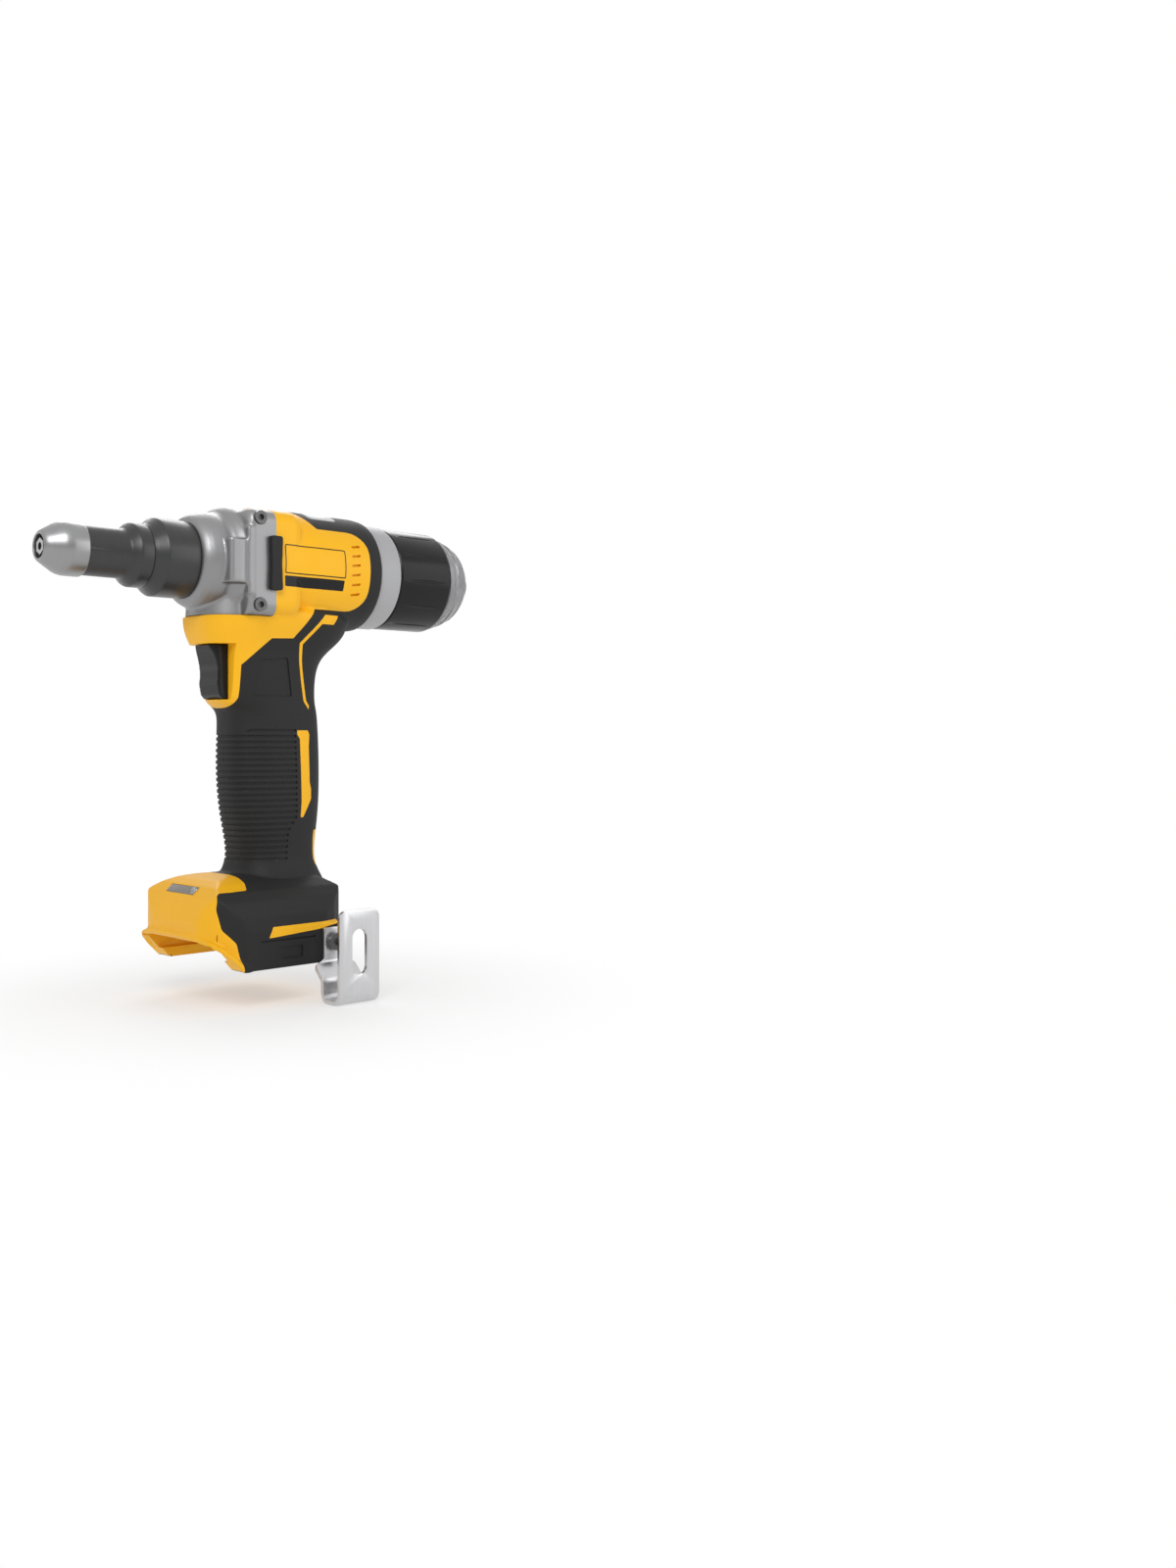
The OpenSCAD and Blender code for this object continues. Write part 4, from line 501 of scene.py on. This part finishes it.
def handle(d):
    """The handle's loft: rounded oblong rings from the barrel down into the foot."""
    shape = bmesh.new()
    loops = []
    for z, front, rear, half in HANDLE_RINGS:
        power = 2 / (3.6 if z > -40 else 2.7)  # squarer over the trigger's frame
        ring = bmesh.ops.create_circle(shape, segments=40, radius=1)["verts"]
        for dot in ring:
            x, y = (math.copysign(abs(v) ** power, v) for v in dot.co.xy)
            dot.co = Vector(((front + rear) / 2 + ((rear - front) / 2 - d) * x, (half - d) * y, z)) * MM
        loops.append(list(dict.fromkeys(e for dot in ring for e in dot.link_edges)))
    for upper, lower in zip(loops, loops[1:]):
        bmesh.ops.bridge_loops(shape, edges=upper + lower)
    for end in (loops[0], loops[-1]):
        bmesh.ops.edgeloop_fill(shape, edges=end)
    made = solid(shape)
    step = made.modifiers.new("round", "SUBSURF")
    step.levels = step.render_levels = 2
    return settle(made)


def foot(d):
    """The foot: its side view, plan and front view drawn through one another."""
    top, x0, x1, hw, low = -145 - d, 61.5 + d, 137.5 - d, 38.5 - d, FOOT_BOTTOM
    side_view = prism([(x0 + 24, top), (x0 + 13, top - 1.6), (x0 + 8, top - 4.2), (x0 + 4, top - 8),
                       (x0 + 1.2, top - 13), (x0, top - 20), (x0 + 0.6, -169), (x0 - 0.2, -170.4),
                       (x0 + 0.4, -172), (x0 + 2.4, -172.6), (x0 + 14, low), (x1 - 6, low), (x1 - 1, low + 8),
                       (x1, top - 18), (x1 - 1.5, top - 12), (x1 - 5, top - 7), (x1 - 10, top - 3.2),
                       (x1 - 17, top)], -60, 60)
    plan = prism([(x0 - 0.4, -hw + 15), (x0 - 0.4, hw - 15), (x0 + 9, hw), (x1 + 20, hw), (x1 + 20, -hw),
                  (x0 + 9, -hw)], -200, -130, "Z", 10)
    combine("INTERSECT", plan, prism([(20, -hw), (x1, -hw), (x1, hw), (20, hw)], -210, -120, "Z", 24 - d))
    combine("UNION", plan, block((114 + d, -hw, -199), (128 - d, hw, -167.8 - d)))
    slope = [(hw, low - 1), (hw, top - 23), (hw - 1.2, top - 16.5), (hw - 4.5, top - 10.5),
             (hw - 9.5, top - 6.2), (hw - 16, top - 3), (hw - 23, top - 0.8), (hw - 30, top)]
    front_view = prism(slope + [(-y, z) for y, z in reversed(slope)], 50, 160, "X")
    return combine("INTERSECT", side_view, plan, front_view)


def outside(d):
    """The clamshell's whole outside, drawn in by d, with a dip in the barrel's top for the window."""
    barrel = turned([(92, 0), (92, 27.4 - d), (116.3, 27.6 - d), (122.3, 28.2 - d), (154.7, 28.2 - d),
                     (159.3, 27.6 - d), (159.7, 27.2 - d), (159.7, 0)])
    shoulders = [prism([(-27 + e, -25 + e), (27 - e, -25 + e), (27 - e, 24.4 - e), (-27 + e, 24.4 - e)],
                       92, x, "X", 7) for x, e in ((110.3, d), (112.1, d + 0.5), (113.7, d + 1.2))]
    made = combine("UNION", barrel, *shoulders, handle(d), foot(d))
    sunk = min(d, 0.6)
    dip = prism([(121, 29), (124, 27.9 - sunk), (126.4, 26.9 - sunk), (129, 25.8 - sunk), (132.7, 25.4 - sunk),
                 (143, 27.3 - sunk), (150, 29), (150, 40), (121, 40)], -60, 60)
    return combine("DIFFERENCE", made, dip)


def across(outline, corner=0.0):
    """A side-view outline drawn right across the tool."""
    return prism(outline, -110, 110, "Y", corner)


def twin(made):
    """A second copy of a working solid."""
    other = made.copy()
    other.data = made.data.copy()
    scene.collection.objects.link(other)
    return other


def recesses():
    """What is cut from the outside: the gear case's seat and the space in front of the trigger's frame."""
    return [block((0, -90, -25.3), (CASE_REAR, 90, 60)), block((0, -90, -63.8), (84.8, 90, -38.0))]


def ball(place, radius, rings):
    """A ball, which its place may also stretch."""
    shape = bmesh.new()
    bmesh.ops.create_uvsphere(shape, u_segments=16, v_segments=rings, radius=radius, matrix=place)
    return solid(shape)


def bead(route, r):
    """A round bar along a route of points."""
    parts = [ball(Matrix.Translation(Vector(dot) * MM), r * MM, 8) for dot in route]
    for start, end in zip(route, route[1:]):
        run = (Vector(end) - Vector(start)) * MM
        place = Matrix.LocRotScale(Vector(start) * MM + run / 2, run.to_track_quat("Z", "Y"), None)
        parts.append(bar(place, r * MM, r * MM, run.length, 16))
    return combine("UNION", *parts)


# a ridge runs along the hood's brow and down both sides to the bottom
brow = [(61.4, 12, -171.0), (62.3, 22, -171.8), (63.4, 30, -173.2), (66.4, 35.5, -175.6), (70.2, 38.2, -179.2),
        (75.5, 38.6, -184.5), (78, 38.6, -187)]
brow = [(x, -y, z) for x, y, z in reversed(brow)] + [(61.3, 0, -170.8)] + brow
skin_form = moulded(combine("UNION", outside(0), bead(brow, 1.3)), 0.75, 4)
combine("DIFFERENCE", skin_form, *recesses(), block((0, -90, -250), (250, 90, FOOT_BOTTOM)))
core_form = combine("DIFFERENCE", outside(RUBBER_T), *recesses())

# side views of what stays yellow, each with the radius of its corners
PANEL_TOP, PANEL_LOW, PANEL_REAR = 18.2, -20, 151.8
ZONES = [
    ([(0, 54), (117, 54), (119.5, 26), (125, PANEL_TOP), (PANEL_REAR, PANEL_TOP), (PANEL_REAR, PANEL_LOW),
      (124.3, PANEL_LOW), (113.3, -34.5), (101.9, -35), (88, -47.8), (87.4, -63), (85.4, -67.8),
      (0, -67.8)], 0),
    ([(0, -140), (85.6, -140), (85.6, -147.5), (83, -150.8), (68, -151), (66.2, -152.8), (65.8, -158),
      (67.4, -167), (72.6, -173), (75.5, -187), (0, -187)], 1.0),
    ([(117, -78), (123.5, -78), (124.5, -80), (124, -86), (124.5, -103), (125.5, -106), (125.5, -111),
      (120.5, -119.5), (119, -119.5), (119.5, -112), (118.5, -82), (117, -80)], 0.5),
    ([(138, -22.5), (129.5, -22.5), (117.5, -36.5), (118.5, -45), (121.5, -64), (124.5, -68), (125, -66.2),
      (123.2, -63.6), (120.1, -45), (119.3, -37), (128, -27), (135, -27)], 0.3),
    ([(88.3, -171.9), (90.4, -167.1), (126.5, -166.9), (128, -167.9), (115, -170.2), (90, -171.9)], 0.3),
    ([(128.4, -126), (150, -126), (150, -143), (129.4, -143), (127.8, -139.5), (127.8, -129)], 0.3),
]


def yellow_zone():
    """The yellow zones as one solid, the barrel's panel with its round rear corners first."""
    shapes = [across(outline, corner) for outline, corner in ZONES]
    hood_front = block((0, -28.5, -187), (76, 28.5, -140))
    panel_end = combine("DIFFERENCE", block((140, -110, -22), (156, 110, 24)),
                        across([(130, PANEL_LOW), (PANEL_REAR, PANEL_LOW), (PANEL_REAR, PANEL_TOP),
                                (130, PANEL_TOP)], 9.5))
    combine("DIFFERENCE", shapes[0], panel_end)
    return combine("UNION", *shapes, hood_front)


def motor_room():
    """The barrel's bore."""
    return rod(90, 165, 23.6)


def handle_hollow():
    """The space in the handle for the switch and the wires."""
    inner = combine("INTERSECT", handle(RUBBER_T + WALL), block((0, -90, -290), (290, 90, -27.5)))
    combine("DIFFERENCE", inner, block((0, -90, -65), (85.2, 90, 0)))
    neck = combine("INTERSECT", handle(RUBBER_T + WALL), block((119.3, -90, -45), (138.3, 90, -15)))
    return combine("UNION", inner, neck)


def receptacle():
    """The battery's way in, with a rail on each side."""
    return combine("UNION", block((65.9, -31.5, -181.5), (118, 31.5, -169)),
                   block((0, -31.5, -181.5), (118, 31.5, -173.6)), block((0, -28, -190), (118, 28, -178)))


def sloped(place, tilt, size, drop):
    """A box that leans with the hood's front slope, by its place in millimetres."""
    shape = bmesh.new()
    stand = Matrix.Translation(Vector(place) * MM) @ Matrix.Rotation(math.radians(-tilt), 4, "Y")
    bmesh.ops.create_cube(shape, size=1, matrix=stand @ Matrix.Translation((0, 0, -drop * MM))
                          @ Matrix.Diagonal(Vector((*size, 1 / MM)) * MM))
    return solid(shape)


LIGHT = (67.3, 1.5, -151.0)
LIGHT_TILT = 42


def light_pocket():
    """The work light's pocket on the hood's front slope, with room for its board behind the lens."""
    return combine("UNION", sloped(LIGHT, LIGHT_TILT, (4.8, 24.8, 6), 0.5),
                   sloped((68.1, 0, -148.2), 35, (6.2, 25, 2.4), 4.4))


SCREWS = [(100, -72, 11.5), (110, -137, 11.5), (78, -31.7, 10.5), (131.5, -171, 24.5)]  # x, z, half length
VENT_HEIGHTS = (11, 6.4, 1.8, -2.8, -7.4, -12)
VENT_FLOOR = 26.8
zone = yellow_zone()
shell = combine("UNION", combine("INTERSECT", twin(skin_form), twin(zone)), twin(core_form))
control_room = block((85.8, -25.2, -165.2), (132.2, 25.2, -153))
trigger_way = block((0, -9.05, -63.8), (98.2, 9.05, -38))
flange_way = block((86.8, -10.25, -57.5), (98.2, 10.25, -43.3))
combine("DIFFERENCE", shell, motor_room(), handle_hollow(), control_room, trigger_way, flange_way,
        receptacle(), light_pocket())
vents = []
for side in (-1, 1):
    for i, z in enumerate(VENT_HEIGHTS):
        back = 0.5 * abs(i - 2.5)  # the row bows with the panel's rear edge
        vents.append(prism([(140.8 + back, z - 0.9), (145.8 + back, z - 0.2), (145.8 + back, z + 0.9),
                            (140.8 + back, z + 0.2)], side * 60 - 50, side * 60 + 50, corner=0.3))
combine("DIFFERENCE", shell, combine("DIFFERENCE", combine("UNION", *vents), rod(90, 165, VENT_FLOOR)))
combine("UNION", shell, *[combine("INTERSECT", post(x, z, -half - 2, half + 2, 3.4), twin(core_form))
                          for x, z, half in SCREWS])


def screw_holes():
    """Holes for the clamshell's screws, open on the right."""
    return [combine("UNION", post(x, z, -half, half + 1, 1.6), post(x, z, half, 77, 3.2))
            for x, z, half in SCREWS]


def bumper_seats():
    """The bumpers' seats in the housing."""
    return [block((90, min(s * 27, s * 60), -13.7), (101.5, max(s * 27, s * 60), 11.7)) for s in (-1, 1)]


HOOK_X = 122
HOOK_SCREW_Z = -176.4


def hook_bores():
    """The seats of the brass inserts on either side of the foot."""
    return [post(HOOK_X, HOOK_SCREW_Z, s * 35.5 - 5, s * 35.5 + 5, 3.42) for s in (-1, 1)]


combine("DIFFERENCE", shell, *screw_holes(), *bumper_seats(), *hook_bores())
HALVES = [("left", -90, -0.04), ("right", 0.04, 90)]
for name, y0, y1 in HALVES:
    half = combine("INTERSECT", twin(shell), block((0, y0, -250), (250, y1, 90)))
    piece("clamshell_" + name, half, yellow_plastic, "tool", "barrel_" + name, "handle_" + name, "foot_" + name)
bpy.data.objects.remove(shell)

# Window and side plates: a plain grey plastic window let into the dip in the barrel's top, and
# on each flank a bare plate, a fine black frame over a black bar. Thin, stuck on the clamshell
# and bent to its curve.


def swollen(by):
    """The clamshell's outside, moved out along its own slope."""
    grown = twin(skin_form)
    step = grown.modifiers.new("proud", "DISPLACE")
    step.mid_level = 0
    step.strength = by * MM
    return settle(grown)


def inlay(proud, *bands):
    """Thin plates that lie on the clamshell's outside and stand a little proud of it."""
    return combine("DIFFERENCE", combine("INTERSECT", swollen(proud), *bands), swollen(-0.5))


grey_plastic = finish("grey_plastic", (0.36, 0.36, 0.37), 0.45)
fleck = noise(grey_plastic, 1200, 2)
pattern(grey_plastic, Base_Color=fleck.blend((0.33, 0.33, 0.34), (0.40, 0.40, 0.41)),
        Roughness=0.4 + fleck * 0.14, Normal=relief(fleck, 0.03, 0.4))
pane = prism([(125, -15), (141, -15), (141, 15), (125, 15)], 15, 40, "Z", 2)
piece("status_window", inlay(0.1, pane), grey_plastic, "tool")
plate = combine("DIFFERENCE", across([(104, -5.0), (137.5, -5.0), (137.5, 8.6), (104, 8.6)], 0.8),
                across([(104.5, -4.5), (137.0, -4.5), (137.0, 8.1), (104.5, 8.1)], 0.5))
combine("UNION", plate, across([(104, -11), (137, -11), (137, -6), (104, -6)], 0.5))
piece("label_place", inlay(0.06, plate), black_plastic, "tool")

# Grips: charcoal rubber moulded over each half round the barrel's rear, the handle and the foot,
# with fine ribs where the hand closes, a plain sunk panel over them, and on the foot a sunk
# oblong under a fine line.
GROOVE = 0.55
RIB_COUNT = 23
RIB_PITCH = 2.75
rubber = combine("DIFFERENCE", twin(skin_form), twin(core_form), zone, receptacle(), light_pocket(),
                 motor_room())
combine("DIFFERENCE", rubber, *screw_holes(), *hook_bores())
deep = outside(GROOVE)
slats = combine("UNION", *[block((80, -40, -78.6 - RIB_PITCH * i), (117.4, 40, -77.4 - RIB_PITCH * i))
                           for i in range(RIB_COUNT)])
combine("INTERSECT", slats, across([(80, -80), (92, -78.5), (96, -76.5), (116.2, -76.5), (117.2, -119),
                                    (112.5, -126), (111, -141), (80, -141)], 1.0))
combine("DIFFERENCE", slats, twin(deep))
panel = combine("UNION", across([(93.5, -62), (97, -45), (112, -43.5), (114.5, -62)], 1.5),
                across([(95, -182), (106, -182), (106, -176.5), (95, -176.5)], 0.8),
                across([(84, -173.6), (113, -173.6), (113, -172.9), (84, -172.9)]))
combine("DIFFERENCE", rubber, slats, combine("DIFFERENCE", panel, deep))
for name, y0, y1 in HALVES:
    half = combine("INTERSECT", twin(rubber), block((0, y0, -250), (250, y1, 90)))
    piece("grip_" + name, half, grip_rubber, "tool", "grip_" + name)
for spare in (rubber, skin_form, core_form):
    bpy.data.objects.remove(spare)
dress(black_steel, "housing_screws")

# Collector: a grey locking ring, a black cup for spent mandrels with shallow flutes for the
# fingers, and its clear end, stepped by ridges and closed by a black plug. Moulded plastic; the
# ring turns to let the cup off.
ring = turned([(160.0, 20.9), (160.0, 25.3), (160.7, 26.0), (172.0, 26.0), (172.6, 25.5), (172.6, 24.1),
               (167.8, 24.1), (167.8, 20.9)], 0.25)
piece("collector_ring", ring, grey_plastic, "collector_ring", "collector_ring")
cup = turned([(168.0, 21.0), (168.0, 24.0), (172.9, 24.0), (172.9, 24.8), (173.8, 25.6), (204.0, 25.6),
              (205.4, 24.9), (205.9, 24.0), (205.9, 23.2), (174.9, 23.2), (172.9, 21.0)], 0.3)
FLUTE_COUNT = 12
flute = Matrix.Translation((189.6 * MM, 26.2 * MM, 0)) @ Matrix.Diagonal((14.5 * MM, 1.1 * MM, 0.9 * MM, 1))
flutes = [ball(Matrix.Rotation(math.radians(5 + 360 / FLUTE_COUNT * i), 4, "X") @ flute, 1, 12)
          for i in range(FLUTE_COUNT)]
piece("collector_cup", combine("DIFFERENCE", cup, *flutes), black_plastic, "collector", "collector_cup")
clear_plastic = finish("clear_plastic", (0.50, 0.50, 0.51), 0.1, IOR=1.49, Transmission_Weight=0.6)
scuff = noise(clear_plastic, 300, 3)
pattern(clear_plastic, Base_Color=scuff.blend((0.42, 0.42, 0.43), (0.56, 0.56, 0.57)),
        Roughness=0.06 + scuff * 0.16)
window = turned([(201.9, 20.6), (201.9, 23.0), (205.9, 23.0), (205.9, 24.2), (208.4, 24.2), (209.3, 23.6),
                 (209.6, 22.4), (211.8, 22.2), (212.4, 22.8), (214.2, 22.2), (214.9, 21.1), (217.3, 20.2),
                 (217.9, 20.4), (219.4, 19.3), (221.6, 17.2), (223.2, 15.0), (224.4, 12.6), (225.0, 10.6),
                 (225.0, 9.3), (222.6, 9.3), (222.6, 11.6), (221.4, 14.2), (219.2, 17.0), (215.6, 19.4),
                 (205.9, 20.2)], 0.12)
piece("collector_window", window, clear_plastic, "collector", "collector_window")
plug = turned([(222.0, 0), (222.0, 9.2), (228.4, 9.4), (229.2, 8.6), (229.2, 0)], 0.3)
piece("collector_plug", plug, black_plastic, "collector")
dress(grip_rubber, "cup_seal")

# Trigger: a glossy black moulded slider with a hollow front for the finger and round sides, kept
# in the frame by a flange and returned by the spring in its rear.
TRIGGER_HALF = 8.75
finger = prism([(76.5, -38.3), (90.8, -38.3), (90.8, -63.5), (82.3, -63.5), (80.6, -61.4)],
               -TRIGGER_HALF, TRIGGER_HALF)
combine("DIFFERENCE", finger, post(56.1, -51.9, -20, 20, 24, 72))
combine("INTERSECT", finger, prism([(76.2, -TRIGGER_HALF), (100, -TRIGGER_HALF), (100, TRIGGER_HALF),
                                    (76.2, TRIGGER_HALF)], -80, -20, "Z", 4.5))
finger = moulded(finger, 0.4, 5)
combine("UNION", finger, block((87.2, -9.95, -56.5), (89.2, 9.95, -44.3)))
spring_seat = Matrix.Translation((91.8 * MM, 0, -49.8 * MM)) @ Matrix.Rotation(math.pi / 2, 4, "Y")
combine("DIFFERENCE", finger, bar(spring_seat, 5.2 * MM, 5.2 * MM, 20 * MM))
piece("trigger", finger, black_plastic, "trigger", "trigger")

# Work light: a smoked lens with round edges, let into the hood's front slope, and a bright metal
# stud with a domed middle at its left end.


def eased(made, width, segments):
    """Rounds a solid's sharp edges."""
    step = made.modifiers.new("eased", "BEVEL")
    step.width = width * MM
    step.segments = segments
    step.limit_method = "ANGLE"
    step.angle_limit = math.radians(50)
    return settle(made)


lens_plastic = finish("lens_plastic", (0.16, 0.14, 0.12), 0.12, Coat_Weight=0.5)
bands = noise(lens_plastic, 500, 1, (0.2, 1, 0.2))
pattern(lens_plastic, Base_Color=bands.blend((0.10, 0.085, 0.07), (0.18, 0.155, 0.13)))
lens = eased(sloped(LIGHT, LIGHT_TILT, (4.6, 24.6, 1.3), 0.7), 0.5, 4)
piece("led_lens", lens, lens_plastic, "tool", "led_lens")
stud = turned([(-0.8, 0), (-0.8, 1.9), (0.2, 1.9), (0.4, 1.75), (0.4, 1.5), (0.2, 1.35), (0.55, 1.0),
               (0.75, 0.5), (0.8, 0)], steps=48)
stud.data.transform(Matrix.Translation(Vector((67.1, -9.2, -150.8)) * MM)
                    @ Matrix.Rotation(math.radians(-90 - LIGHT_TILT), 4, "Y"))
piece("light_bead", stud, nose_steel, "tool")

# Contacts and inserts: brass blades in the contact block, stamped from strip, and a turned brass
# thread insert pressed into each side of the foot.
brass = turned_finish("brass", (0.50, 0.33, 0.10), (0.66, 0.46, 0.17), (0.74, 0.55, 0.25), 0.28, 1.0)
dress(brass, "terminal_blades", "hook_insert_left", "hook_insert_right")

# Belt hook: a stainless strip, bent to a U under the foot, with a wide outer plate that has a
# slot. Brushed along its length and held by one black socket screw.
stainless = finish("stainless", (0.52, 0.52, 0.53), 0.28, 1.0)
brushed = noise(stainless, 1500, 2, (1, 0.03, 0.03))
pattern(stainless, Base_Color=brushed.blend((0.57, 0.57, 0.58), (0.65, 0.65, 0.66)),
        Roughness=0.28 + brushed * 0.1, Normal=relief(brushed, 0.01, 0.1))
BEND_R = 4
BEND_Z = -198.2
route = [(-39.5, -169.8, 5.5), (-39.5, -184, 5.5), (-39.5, -185.4, 7.4), (-40.1, -186.8, 10),
         (-41.4, -188.1, 11), (-45.4, -191.9, 11), (-46.3, -193.1, 11), (-46.5, -194.4, 11)]  # y, z, half width
for centre, start in ((-50.5, 0), (-55.5, 90)):
    for degrees in range(start, start + 91, 10):
        turn = math.radians(degrees)
        route.append((centre + BEND_R * math.cos(turn), BEND_Z - BEND_R * math.sin(turn), 11))
route.append((-59.5, -160, 11))
shape = bmesh.new()
rows = [[shape.verts.new(((HOOK_X + s * w) * MM, y * MM, z * MM)) for s in (-1, 1)] for y, z, w in route]
for near, far in zip(rows, rows[1:]):
    shape.faces.new((near[0], near[1], far[1], far[0]))
bmesh.ops.bevel(shape, geom=rows[-1], offset=4 * MM, offset_type="OFFSET", segments=6, profile=0.5,
                affect="VERTICES", clamp_overlap=True, material=-1)
hook = solid(shape)
step = hook.modifiers.new("strip", "SOLIDIFY")
step.thickness = 2 * MM
step.offset = 0
settle(hook)
slot = prism([(118, -189.8), (126, -189.8), (126, -168.8), (118, -168.8)], -70, -50, corner=3.9)
combine("DIFFERENCE", hook, slot, post(HOOK_X, HOOK_SCREW_Z, -45, -30, 2.3))
piece("belt_hook", eased(hook, 0.25, 2), stainless, "tool", "belt_hook")
dress(black_steel, "hook_screw")
